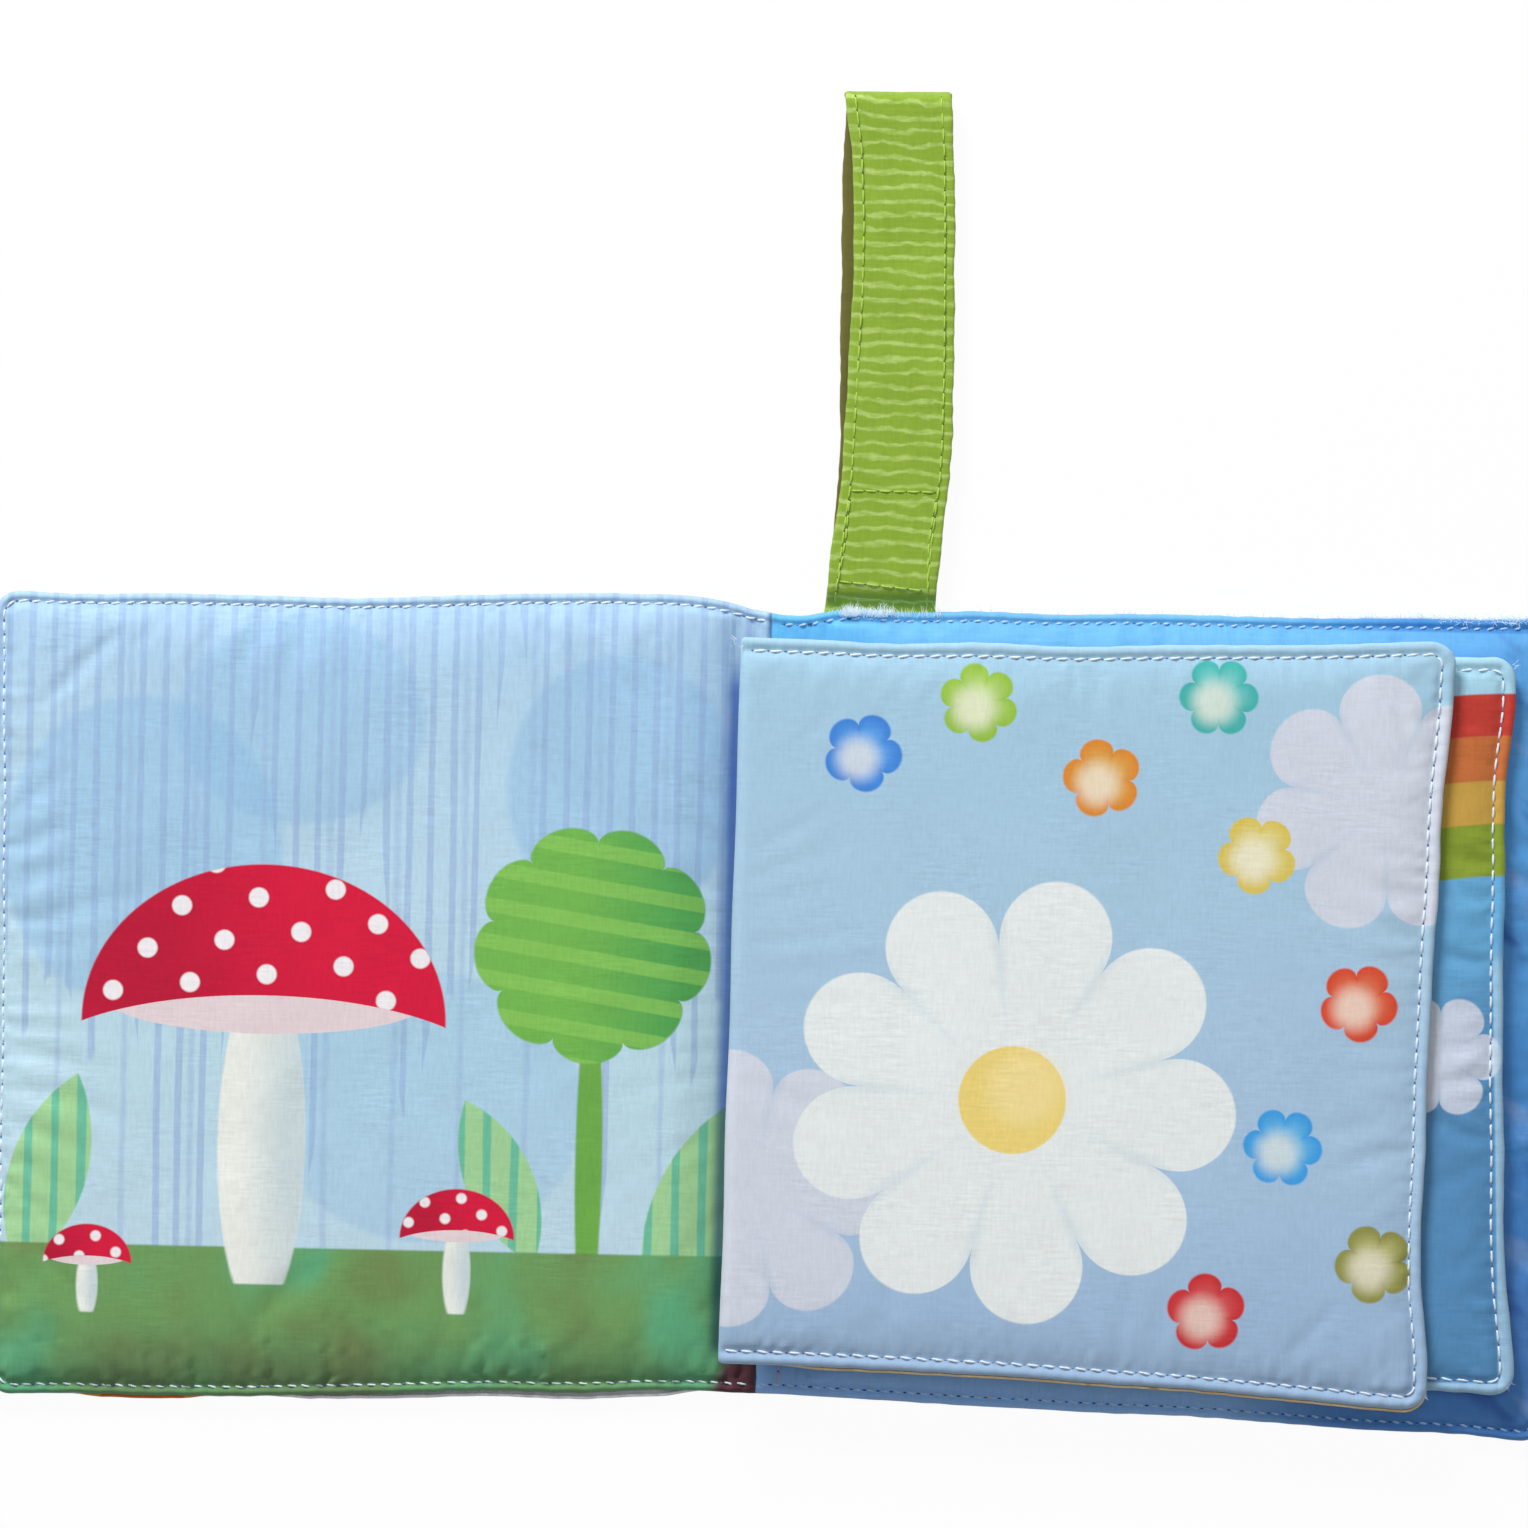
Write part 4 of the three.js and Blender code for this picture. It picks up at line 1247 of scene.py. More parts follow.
@dataclass(frozen=True)
class Padding:
    """Heights of one padded cloth above its level, from the rim inwards, in mm."""

    level: float
    edge: float
    rim: float
    channel: float
    crown: float
    seam_inset: float = 2.4
    roll: float = 1.1
    crown_run: float = 18.0
    crown_speed: float = 4.5
    root: RootEdge = RootEdge.SPINE
    root_run: float = 15.0
    root_drop: float = 1.0
    head_room: float = 0.45

    def capped(self, heights: Array) -> Array:
        """Keeps wrinkles from standing far above the crown."""
        start = self.crown - 0.1
        over = np.clip(heights - start, 0, None)
        return np.minimum(heights, start) + self.head_room * np.tanh(over / self.head_room)

    def rising(self, run: Array) -> Array:
        """Share of the crown that a place inside the seam has reached."""
        share = np.clip(run / self.crown_run, 0, 1)
        return (1 - np.exp(-self.crown_speed * share)) / (1 - math.exp(-self.crown_speed))

    def heights(self, from_root: Array, out: Array, inset: Array) -> tuple[Array, Array]:
        """Heights of the smooth padded cloth.

        Args:
            from_root: Distance from the spine side, in mm.
            out: Distance from the fore edge, in mm.
            inset: Distance from the nearer long side, in mm.

        Returns:
            The heights above the level in mm, and how free each place is to swell, 0 to 1.
        """
        least = np.minimum(out, inset)
        rise = np.sqrt(1 - (1 - np.clip(least / self.roll, 0, 1)) ** 2)
        fall = smooth((least - self.roll) / (self.seam_inset - self.roll))
        rim = self.edge + (self.rim - self.edge) * rise + (self.channel - self.rim) * fall
        free = self.rising(out - self.seam_inset) * self.rising(inset - self.seam_inset)
        padded = rim + (self.crown - self.channel) * free
        if self.root is RootEdge.FOLD:
            round_off = np.sqrt(1 - (1 - np.clip(from_root / self.root_run, 0, 1)) ** 2)
            return padded * round_off, free * smooth(from_root / 5)
        share = smooth((from_root + 2) / self.root_run)
        lifted = rim + (self.crown - self.channel) * free * share
        return lifted - self.root_drop * (1 - smooth((from_root + 4) / 9)), free * share


def softened(heights: Array, reach: float) -> Array:
    """Blurs a grid of heights by a reach given in grid steps."""
    edge = math.ceil(3 * reach)
    kernel = np.exp(-((np.arange(-edge, edge + 1) / reach) ** 2) / 2)
    kernel /= kernel.sum()
    padded = np.pad(heights, edge, mode="reflect", reflect_type="odd")
    rows = np.apply_along_axis(lambda line: np.convolve(line, kernel, "valid"), 0, padded)
    return np.apply_along_axis(lambda line: np.convolve(line, kernel, "valid"), 1, rows)


@dataclass(frozen=True)
class SewnCloth:
    """A cloth that is a little too large for the seam it is sewn into, let go and pushed out.

    The simulation is run on a sheet ten times life size. Only the wrinkles are kept, as
    heights over the flat cloth; the padding's own shape is added elsewhere.
    """

    length: float
    height: float
    seed: int
    spacing: float = 1.6
    extra: float = 0.022
    push: float = 0.6
    frames: int = 24
    scale: float = 0.01
    cap: float = 0.75

    def sheet(self) -> tuple[bpy.types.Object, tuple[int, int]]:
        """Makes the sheet, with its seam held.

        Returns:
            The sheet and the number of its rows and columns.
        """
        rows, columns = (round(size / self.spacing) + 1 for size in (self.length, self.height))
        spots = (np.linspace(0, self.length, rows), np.linspace(0, self.height, columns))
        x, y = np.meshgrid(*spots, indexing="ij")
        edge = np.minimum(np.minimum(x, self.length - x), np.minimum(y, self.height - y))
        z = np.random.default_rng(self.seed).normal(0, 0.05, x.shape) + 2 * (1 - np.exp(-edge / 8))
        z[edge <= 0] = 0
        mesh = bpy.data.meshes.new("sewn_cloth")
        points = beside(x, y, z) * self.scale
        mesh.from_pydata(points.tolist(), [], grid_faces(rows, columns))
        sheet = bpy.data.objects.new("sewn_cloth", mesh)
        bpy.context.scene.collection.objects.link(sheet)
        seam = sheet.vertex_groups.new(name="seam")
        seam.add([int(point) for point in np.flatnonzero(edge.ravel() < self.spacing * 0.6)], 1.0, "REPLACE")
        return sheet, (rows, columns)

    def wrinkles(self) -> Array:
        """Runs the cloth and gives its wrinkles.

        Returns:
            Heights over the sheet's grid, in mm.
        """
        sheet, shape = self.sheet()
        cloth = sheet.modifiers.new("cloth", "CLOTH")
        settings = cloth.settings
        settings.quality = 6
        settings.mass = 0.3
        settings.tension_stiffness = settings.compression_stiffness = 30
        settings.shear_stiffness = 15
        settings.bending_stiffness = 0.1
        settings.vertex_group_mass = "seam"
        settings.shrink_min = -self.extra
        settings.effector_weights.gravity = -self.push
        cloth.collision_settings.use_collision = False
        cloth.point_cache.frame_end = self.frames
        scene = bpy.context.scene
        for number in range(1, self.frames + 1):
            scene.frame_set(number)
        settled = sheet.evaluated_get(bpy.context.evaluated_depsgraph_get()).data
        places = np.zeros(len(settled.vertices) * 3, np.float32)
        settled.vertices.foreach_get("co", places)
        heights = places.reshape(*shape, 3)[..., 2] / self.scale
        bpy.data.objects.remove(sheet)
        scene.frame_set(1)
        fine = softened(heights, 0.75) - softened(heights, 4.0)
        return np.clip(fine / fine.std() * 0.3, -self.cap, self.cap)


@dataclass
class PaddedCloth:
    """One face of a padded panel: its cloth, from the spine to the fore edge."""

    name: str
    panel: Panel
    padding: Padding
    side: Side
    finish: str
    slot: str
    body: str
    replaces: tuple[str, ...]
    seed: int
    thickness: float = 0.5
    undulation: float = 0.22
    gather: float = 0.3
    gather_pitch: float = 3.9
    stitch_pitch: float = 3.1
    pucker: float = 0.12
    foot_gather: float = 1.0
    wrinkle: float = 0.0
    step: float = COARSE_STEP
    creases: tuple[Crease, ...] = ()
    spine_reach: float = 0.0
    held: str = ""
    mirrored: bool = False

    def rows(self) -> tuple[Array, Array, Array]:
        """Rows of the mesh: distance from the spine side, inset and side of each point."""
        from_root = row_places(self.panel.length, FOLD_ROWS, RIM_ROWS, self.step)
        if self.spine_reach:
            onto_spine = np.linspace(-self.spine_reach, 0, max(3, round(self.spine_reach / 0.5)))[:-1]
            from_root = np.concatenate([onto_spine, from_root])
        across = row_places(self.panel.middle_half * 2, RIM_ROWS, RIM_ROWS, self.step)
        inset = np.minimum(across, self.panel.middle_half * 2 - across)
        way = np.where(across < self.panel.middle_half, -1.0, 1.0)
        roots, insets = np.meshgrid(from_root, inset, indexing="ij")
        return roots, insets, np.broadcast_to(way, insets.shape)

    def gathers(self, run: Array, along: Array, number: int) -> Array:
        """Small ridges that stand across one sewn line.

        Args:
            run: Distance inwards from the seam, in mm.
            along: Place along the seam, in mm.
            number: Tells the cloth's seams apart.

        Returns:
            Heights to add, in mm.
        """
        seed = self.seed + 10 * number
        bent = along + 0.9 * ripple(run * 3 + along * 0.3, 9, seed)
        reach = 4.6 + 2.4 * ripple(along, 23, seed + 1, 3)
        fade = np.exp(-np.clip(run, 0, None) / np.clip(reach, 2.2, 9)) * smooth((run + 0.4) / 1.5)
        strength = 0.7 + 0.5 * ripple(along, 34, seed + 2, 3)
        pulls = ripple(bent, self.gather_pitch, seed + 3, 6)
        long_reach = np.exp(-(((run - 5) / 6.5) ** 2)) * smooth(run / 3)
        long_pulls = ripple(bent * 0.8 + run * 0.25, self.gather_pitch * 2.3, seed + 4, 4)
        puckers = np.cos(along * 2 * math.pi / self.stitch_pitch) * np.exp(-((run / 1.5) ** 2))
        outside = np.where(run < 0, smooth(-run / 1.4), 0.0)
        rim = outside * ripple(along, self.gather_pitch * 1.3, seed + 5) * 0.3
        inside = np.where(run >= -0.4, 1.0, 0.0)
        ridges = pulls * strength * fade * 1.5 + long_pulls * long_reach * 0.55
        return self.gather * (inside * ridges + rim) + self.pucker * puckers

    def unevenness(self, x: Array, y: Array, out: Array, inset: Array, free: Array) -> Array:
        """Swellings, gathers at the seam and soft folds.

        Args:
            x: Places across, in mm.
            y: Places along, in mm.
            out: Distance from the fore edge, in mm.
            inset: Distance from the nearer long side, in mm.
            free: How free each place is to swell.

        Returns:
            Heights to add, in mm.
        """
        added = self.undulation * (swell(x, y, 46, self.seed) + 0.45 * swell(x, y, 19, self.seed + 1)) * free
        seam = self.padding.seam_inset
        at_foot = np.where(y < 0, self.foot_gather, 1.0)
        long_sides = self.gathers((inset - seam) / np.sqrt(at_foot), x, 2)
        added += at_foot * long_sides + self.gathers(out - seam, y, 3)
        if self.wrinkle:
            added += self.wrinkle * self.sampled(out, inset, y)
        for crease in self.creases:
            added += crease.rise(x, y) * np.clip(free * 1.6, 0, 1)
        return added

    def sampled(self, out: Array, inset: Array, y: Array) -> Array:
        """Looks up the sewn cloth's wrinkles at each place.

        Args:
            out: Distance from the fore edge, in mm.
            inset: Distance from the nearer long side, in mm.
            y: Places along, in mm.

        Returns:
            Heights to add, in mm.
        """
        seam = self.padding.seam_inset
        length, height = self.panel.length - seam, 2 * (self.panel.middle_half - seam)
        grid = SewnCloth(length, height, self.seed).wrinkles()
        spot_x = np.clip((self.panel.length - out) / length, 0, 1) * (grid.shape[0] - 1)
        across = np.where(y < 0, inset - seam, height - inset + seam)
        spot_y = np.clip(across / height, 0, 1) * (grid.shape[1] - 1)
        low_x = np.minimum(spot_x.astype(int), grid.shape[0] - 2)
        low_y = np.minimum(spot_y.astype(int), grid.shape[1] - 2)
        share_x, share_y = smooth(spot_x - low_x), smooth(spot_y - low_y)
        near = grid[low_x, low_y] * (1 - share_y) + grid[low_x, low_y + 1] * share_y
        far = grid[low_x + 1, low_y] * (1 - share_y) + grid[low_x + 1, low_y + 1] * share_y
        least = np.minimum(inset, out) - seam
        fade = (0.3 + 0.7 * np.exp(-np.clip(least, 0, None) / 11)) * smooth((least + 0.2) / 1.2)
        return (near * (1 - share_x) + far * share_x) * fade

    def spine_folds(self, x: Array, y: Array, from_root: Array) -> Array:
        """Upright folds of the cloth where it lies over the spine.

        Args:
            x: Places across, in mm.
            y: Places along, in mm.
            from_root: Distance from the spine side, in mm.

        Returns:
            Heights to add, in mm.
        """
        near = np.exp(-((np.clip(np.abs(x) - 4, 0, None) / 6) ** 2))
        ends = 0.1 + 0.9 * smooth((np.abs(y) - 62) / 9)
        leaning = x + 0.5 * ripple(y, 38, 77, 3)
        folds = 0.34 * ripple(leaning, 4.2, 78, 4) + 0.16 * ripple(leaning, 2.2, 79, 4)
        folds = np.where(folds > 0, folds * (0.15 + 0.85 * smooth((np.abs(y) - 69.5) / 2.5)), folds)
        pressed = 0.4 * np.exp(-(((x - MEETING_X) / 0.45) ** 2))
        return np.where(from_root < 9, folds * near * ends - pressed, 0.0)

    def surface(self, roots: Array, insets: Array, way: Array, smooth_only: bool = False) -> Array:
        """Points of the cloth in the part's frame.

        Args:
            roots: Distance from the spine side, in mm.
            insets: Inset from the nearer long side, in mm.
            way: 1 nearer the head, -1 nearer the foot.
            smooth_only: Leaves out the gathers and folds.

        Returns:
            Points, with x, y and z in the last direction, in mm.
        """
        out = self.panel.length - roots
        x, y = self.panel.places(roots, insets, way)
        height, free = self.padding.heights(roots, out, insets)
        if not smooth_only:
            height = height + self.unevenness(x, y, out, insets, free)
            if self.spine_reach:
                height = height + self.spine_folds(x, y, roots)
            height = self.padding.capped(height)
        if self.padding.root is RootEdge.FOLD:
            x = x + 0.2 * ripple(y, 31, 4, 3) * np.exp(-np.clip(roots, 0, None) / 7)
        return np.stack([x, y, self.padding.level + self.side.value * height], axis=-1)

    def build(self) -> bpy.types.Object:
        """Makes the cloth.

        Returns:
            The cloth's object.
        """
        roots, insets, way = self.rows()
        points = self.surface(roots, insets, way)
        places = points.copy()
        places[..., 2] = 0
        if self.mirrored:
            places[..., 0] *= -1
        rows, columns = roots.shape
        faces = grid_faces(rows, columns, self.side is Side.DOWN)
        piece = new_piece(self.name, points.reshape(-1, 3), faces, places.reshape(-1, 3))
        thicken(piece, self.thickness)
        return piece

    def seam_line(self, end_gap: float) -> Array:
        """Points along the seam, from the spine at the foot round to the spine at the head.

        Args:
            end_gap: Distance that the seam keeps from the cloth's end at the spine, in mm.

        Returns:
            One row of x, y and z for each point, in mm.
        """
        inset = self.padding.seam_inset
        far = self.panel.length - inset
        long_side = np.arange(end_gap - self.spine_reach, far, 0.25)
        fore_side = np.arange(inset, self.panel.middle_half, 0.25)
        roots = np.concatenate([long_side, np.full(2 * fore_side.size, far), long_side[::-1]])
        insets = np.concatenate(
            [np.full(long_side.size, inset), fore_side, fore_side[::-1], np.full(long_side.size, inset)]
        )
        ways = np.repeat([-1.0, 1.0], long_side.size + fore_side.size)
        return self.surface(roots, insets, ways, smooth_only=True)

    def place(self, piece: bpy.types.Object) -> None:
        """Gives a piece the cloth's place on the frame."""
        if self.spine_reach or self.body == "front_cover":
            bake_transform(piece)
        else:
            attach(piece, self.body)

    def finish_up(self, piece: bpy.types.Object, wardrobe: Wardrobe) -> None:
        """Dresses the cloth and gives it its place on the frame.

        Args:
            piece: The cloth's object.
            wardrobe: The finishes.
        """
        wardrobe.dress(piece, self.finish)
        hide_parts(*self.replaces)
        self.place(piece)


# Rings and sides of one stitch, and rings of the dark lens of painted shade in the hole beside it
STITCH_RINGS = 8
STITCH_SIDES = 8
HOLE_RINGS = 4

@dataclass(frozen=True)
class Stitching:
    """A row of single stitches along a line."""

    name: str
    finish: str
    slot: str
    body: str
    replaces: tuple[str, ...]
    pitch: float = 3.0
    share: float = 0.74
    thickness: float = 0.54
    lift: float = 0.14
    slant: float = 0.15
    # Half width of the dark lens of painted shade in each needle hole, in mm
    hole: float = 0.2
    seed: int = 5

    def needle_hole_shade(self, line: Array, run: Array, at: float, half: float, up: float) -> Array:
        """Points of the painted shade in the needle hole between two stitches: a small flat dark lens.

        Args:
            line: Points along the sewn line, in mm.
            run: Distance of each of them along the line, in mm.
            at: Where the hole is along the line, in mm.
            half: Half its length, in mm.
            up: 1 where the stitches lie on top, -1 where they lie underneath.

        Returns:
            The rings of the lens, in mm.
        """
        shares = np.cos(np.linspace(math.pi * 0.95, math.pi * 0.05, HOLE_RINGS))
        place = np.clip(at + shares * half, 0, run[-1])
        centre = points_at(line, run, place)
        along = centre[-1] - centre[0]
        along /= max(np.linalg.norm(along), 1e-9)
        across = np.cross(along, (0, 0, up))
        size = self.hole * np.sqrt(1 - shares**2)
        turns = np.arange(STITCH_SIDES) * 2 * math.pi / STITCH_SIDES
        rings = np.outer(size, np.cos(turns))[..., None] * across
        rings[..., 2] += up * (0.04 + 0.55 * np.outer(size, np.sin(turns)))
        return centre[:, None] + rings

    def build(self, lines: Sequence[Array], up: float) -> bpy.types.Object:
        """Makes the stitches.

        Args:
            lines: Points along each sewn line, in mm.
            up: 1 where the stitches lie on top, -1 where they lie underneath.

        Returns:
            The stitches' object.
        """
        rings, sides = STITCH_RINGS, STITCH_SIDES
        rng = np.random.default_rng(self.seed)
        points: list[Array] = []
        places: list[Array] = []
        faces: list = []
        turns = np.arange(sides) * 2 * math.pi / sides
        for line in lines:
            run = distances(line)
            for index in range(int(run[-1] / self.pitch)):
                begin = (index + 0.12) * self.pitch + rng.uniform(-0.08, 0.08)
                length = self.pitch * self.share * rng.uniform(0.94, 1.05)
                shares = np.linspace(0, 1, rings)
                at = np.clip(begin + shares * length, 0, run[-1])
                centre = points_at(line, run, at)
                along = centre[-1] - centre[0]
                along /= max(np.linalg.norm(along), 1e-9)
                across = np.cross(along, (0, 0, up))
                across /= max(np.linalg.norm(across), 1e-9)
                lean = self.slant * rng.uniform(0.5, 1.4) * along[0]
                arch = np.sin(shares * math.pi) ** 0.6
                centre = centre + np.outer((shares - 0.5) * 2 * lean, across)
                centre[:, 2] += up * (self.lift + self.thickness * (0.62 * arch - 0.5))
                size = self.thickness / 2 * (0.62 + 0.38 * np.sin(shares * math.pi) ** 0.5)
                phase = shares * math.pi * 1.5 + rng.uniform(0, math.pi)
                plies = 0.8 + 0.3 * np.abs(np.cos(turns - phase[:, None]))
                radius = size[:, None] * plies
                stitch = centre[:, None] + (radius * np.cos(turns))[..., None] * across
                stitch[..., 2] += radius * np.sin(turns) * up
                gap = self.pitch - length
                # A small dark lens in the needle hole after the stitch: painted shade.
                hole = self.needle_hole_shade(line, run, begin + length + gap / 2, gap * 0.42, up)
                for made, mark in ((stitch, 0.0), (hole, MARK)):
                    faces += closed_tube_faces(len(made), sides, sum(len(block) for block in points))
                    points.append(made.reshape(-1, 3))
                    places.append(made.reshape(-1, 3) * (1, 1, 0) + (0, 0, mark))
        return new_piece(self.name, np.concatenate(points), faces, np.concatenate(places))

    def finish_up(self, piece: bpy.types.Object, wardrobe: Wardrobe, place: Placer | None = None) -> None:
        """Dresses the stitches and gives them their place on the frame.

        Args:
            piece: The stitches' object.
            wardrobe: The finishes.
            place: Puts the piece on the frame, where it doesn't ride one body.
        """
        wardrobe.dress(piece, self.finish)
        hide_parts(*self.replaces)
        if place:
            place(piece)
        else:
            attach(piece, self.body)


def pile(name: str, roots: Array, out: Array, length: float, width: float, seed: int) -> bpy.types.Object:
    """Makes plush pile as thin bent strands.

    Args:
        name: The piece's name.
        roots: Where each strand starts, in mm.
        out: Direction in which each strand points.
        length: Middle length of a strand, in mm.
        width: Thickness at its foot, in mm.
        seed: Start of the random draws.

    Returns:
        The pile's object.
    """
    rng = np.random.default_rng(seed)
    count = len(roots)
    levels = np.array([0.0, 0.4, 0.75, 1.0])
    lengths = length * rng.uniform(0.55, 1.35, count)
    lean = out + rng.normal(0, 0.38, (count, 3))
    lean /= np.linalg.norm(lean, axis=1)[:, None]
    bend = rng.normal(0, 0.5, (count, 3))
    spin = rng.uniform(0, 2 * math.pi, count)
    helper = np.cross(lean, rng.normal(0, 1, (count, 3)))
    helper /= np.linalg.norm(helper, axis=1)[:, None]
    other = np.cross(lean, helper)
    points = np.zeros((count, len(levels), 3, 3))
    for level_index, level in enumerate(levels):
        centre = roots + lean * (lengths * level)[:, None] + bend * (lengths * level**2 * 0.4)[:, None]
        size = width * (1 - 0.75 * level)
        for corner in range(3):
            angle = spin + corner * 2 * math.pi / 3
            offset = helper * np.cos(angle)[:, None] + other * np.sin(angle)[:, None]
            points[:, level_index, corner] = centre + offset * size / 2
    points[..., 2] = np.maximum(points[..., 2], 0.03)
    faces = []
    for strand in range(count):
        faces += closed_tube_faces(len(levels), 3, strand * len(levels) * 3)
    return new_piece(name, points.reshape(-1, 3), faces)


# Sub-assemblies


# Tufts of the plush pile: along the back cover's head, along its fore edge and over its rim
HEAD_PILE, FORE_PILE, RIM_PILE = 5200, 3000, 260

# Shapes of the covers' pages and of their outer cloths
PAGE_PADDING = Padding(
    level=1.7,
    edge=0.0,
    rim=1.3,
    channel=0.8,
    crown=3.95,
    seam_inset=1.8,
    roll=0.9,
    crown_run=26,
    crown_speed=5.0,
)
SHELL_PADDING = Padding(level=1.6, edge=0.0, rim=1.45, channel=1.2, crown=1.5, crown_run=6, root_drop=0.1)


@dataclass
class Covers:
    """The two padded covers, whose pages meet on the spine, with their stitches and plush."""

    reach: float = 150.9
    root_x: float = 8.0
    spine_height: float = 150.6
    front_height: float = 153.5
    back_height: float = 157.0
    draw_in: float = 0.8
    page: Padding = field(default_factory=lambda: PAGE_PADDING)
    shell: Padding = field(default_factory=lambda: SHELL_PADDING)

    def panel(self, turn: float, height: float, longer: float = 0.0, peeking: bool = False) -> Panel:
        """Outline of a cover.

        Args:
            turn: Where it points from the spine, in radians.
            height: Height of its fore side, in mm.
            longer: What is added to its height, in mm.
            peeking: Whether it shows below the page's foot.

        Returns:
            The outline.
        """
        spine = self.spine_height + longer
        return Panel(
            self.root_x, self.reach, spine, height + longer, self.draw_in, turn, fanned=True, peeking=peeking
        )

    def front_page(self) -> PaddedCloth:
        """The pale printed page inside the front cover, with its part of the spine."""
        return PaddedCloth(
            "front_cover_page",
            self.panel(math.pi + LAY_TURN, self.front_height),
            self.page,
            Side.UP,
            "meadow",
            "pale_print",
            "front_cover",
            ("front_cover_inner", "front_cover_seam_allowance", "spine_inner"),
            11,
            undulation=0.24,
            gather=0.24,
            gather_pitch=3.3,
            foot_gather=2.0,
            wrinkle=1.3,
            step=FINE_STEP,
            spine_reach=self.root_x + MEETING_X,
            creases=(
                Crease((-24, -20), (-60, 14), 5, 0.35),
                Crease((-18, 30), (-46, 44), 5, -0.3),
                Crease((-100, -68), (-86, -52), 3, -0.6),
                Crease((-52, -70), (-62, -50), 3.2, -0.5),
                Crease((-134, -20), (-148, 4), 6, -0.4),
                Crease((-30, 72), (-22, 50), 4, -0.5),
            ),
        )

    def back_page(self) -> PaddedCloth:
        """The blue printed page inside the back cover, with its part of the spine."""
        return PaddedCloth(
            "back_cover_page",
            self.panel(-LAY_TURN, self.back_height),
            self.page,
            Side.UP,
            "deep",
            "blue_print",
            "back_cover",
            ("back_cover_inner", "back_cover_seam_allowance"),
            23,
            undulation=0.26,
            gather=0.2,
            gather_pitch=5.0,
            stitch_pitch=2.6,
            wrinkle=1.3,
            step=FINE_STEP,
            spine_reach=self.root_x - MEETING_X,
            creases=(
                Crease((149, 26), (129, 52), 2.6, -1.1),
                Crease((149, 4), (130, 28), 3.0, -1.0),
                Crease((149, -22), (126, 2), 3.0, -1.1),
                Crease((148, -50), (128, -30), 2.8, -1.1),
                Crease((146, -66), (128, -58), 2.6, 0.7),
                Crease((12, 73), (16, 60), 2.6, -0.6),
            ),
        )

    def front_outside(self) -> PaddedCloth:
        """The printed outer cloth of the front cover, which shows below its foot."""
        return PaddedCloth(
            "front_cover_outside",
            self.panel(math.pi + LAY_TURN, self.front_height, -0.3, True),
            self.shell,
            Side.DOWN,
            "outside",
            "outer_print",
            "front_cover",
            ("front_cover_outer",),
            31,
            undulation=0.0,
            gather=0.04,
            held="stretched",
        )

    def back_outside(self) -> PaddedCloth:
        """The plush outer cloth of the back cover."""
        return PaddedCloth(
            "back_cover_outside",
            self.panel(-LAY_TURN, self.back_height, -0.2),
            self.shell,
            Side.DOWN,
            "plush",
            "white_plush",
            "back_cover",
            ("back_cover_outer",),
            37,
            undulation=0.0,
            gather=0.04,
            held="stretched",
        )

    def build(self, wardrobe: Wardrobe) -> None:
        """Makes both covers, their stitches and the plush pile.

        Args:
            wardrobe: The finishes.
        """
        front, back = self.front_page(), self.back_page()
        for cloth in (front, back, self.front_outside(), self.back_outside()):
            cloth.finish_up(cloth.build(), wardrobe)
            LOG.info("made %s", cloth.name)
        sewing = (
            (
                front,
                Stitching(
                    "front_cover_stitches",
                    "pale_thread",
                    "pale_thread",
                    "front_cover",
                    ("front_cover_edge_thread",),
                    2.55,
                    0.74,
                    0.42,
                ),
            ),
            (
                back,
                Stitching(
                    "back_cover_stitches",
                    "deep_thread",
                    "pale_thread",
                    "back_cover",
                    ("back_cover_edge_thread",),
                    2.6,
                    0.56,
                    0.46,
                ),
            ),
        )
        for cloth, stitching in sewing:
            stitching.finish_up(stitching.build([cloth.seam_line(0.4)], 1), wardrobe, cloth.place)
            LOG.info("made %s", stitching.name)
        self.build_pile(wardrobe)

    def build_pile(self, wardrobe: Wardrobe) -> None:
        """Makes the plush pile that shows round the back cover's edge and over the strap's root.

        Args:
            wardrobe: The finishes.
        """
        panel = self.panel(-LAY_TURN, self.back_height, 0.4)
        rng = np.random.default_rng(71)
        head = self.root_x + (panel.length - self.root_x) * rng.uniform(0, 1, HEAD_PILE) ** 0.62
        kept = rng.uniform(0, 1, head.size) < 0.16 + 0.84 * smooth((head - 92) / 22)
        head = head[kept]
        fore = rng.uniform(0, 2 * panel.middle_half, FORE_PILE)
        depth = rng.uniform(0.1, 1.2, head.size + fore.size)
        roots = np.concatenate([head, panel.length - depth[head.size :]])
        fore_inset = np.minimum(fore, 2 * panel.middle_half - fore)
        insets = np.concatenate([depth[: head.size], fore_inset])
        ways = np.concatenate([np.ones(head.size), np.where(fore < panel.middle_half, -1.0, 1.0)])
        x, y = panel.places(roots, insets, ways)
        z = 0.5 + rng.uniform(0, 1.5, x.size)
        on_fore = np.concatenate([np.zeros(head.size), np.ones(fore.size)])
        out = beside(on_fore, (1 - on_fore) * ways, np.full(x.size, 0.3))
        over = rng.uniform(0, 1, RIM_PILE) ** 0.6 * 28 + panel.length - 29
        over_inset = rng.uniform(0.0, 1.1, over.size)
        over_x, over_y = panel.places(over, over_inset, np.ones(over.size))
        over_z = 1.5 + 1.4 * smooth(over_inset / 0.9)
        inward = np.tile((0.1, 0.1, 0.5), (over.size, 1))
        roots = np.concatenate([beside(x, y, z), beside(over_x, over_y, over_z)])
        edge = pile("back_cover_pile", roots, np.concatenate([out, inward]), 1.35, 0.12, 72)
        spread = rng.uniform(9.4, 31, 120)
        bunches = (rng.normal(13.5, 1.1, 170), rng.normal(18.6, 1.9, 150))
        tuft_x = np.concatenate([spread, *bunches])
        tuft_y = self.spine_height / 2 - 0.2 - rng.uniform(0.0, 1.1, tuft_x.size)
        tuft_z = 3.0 + rng.uniform(0.0, 0.6, tuft_x.size)
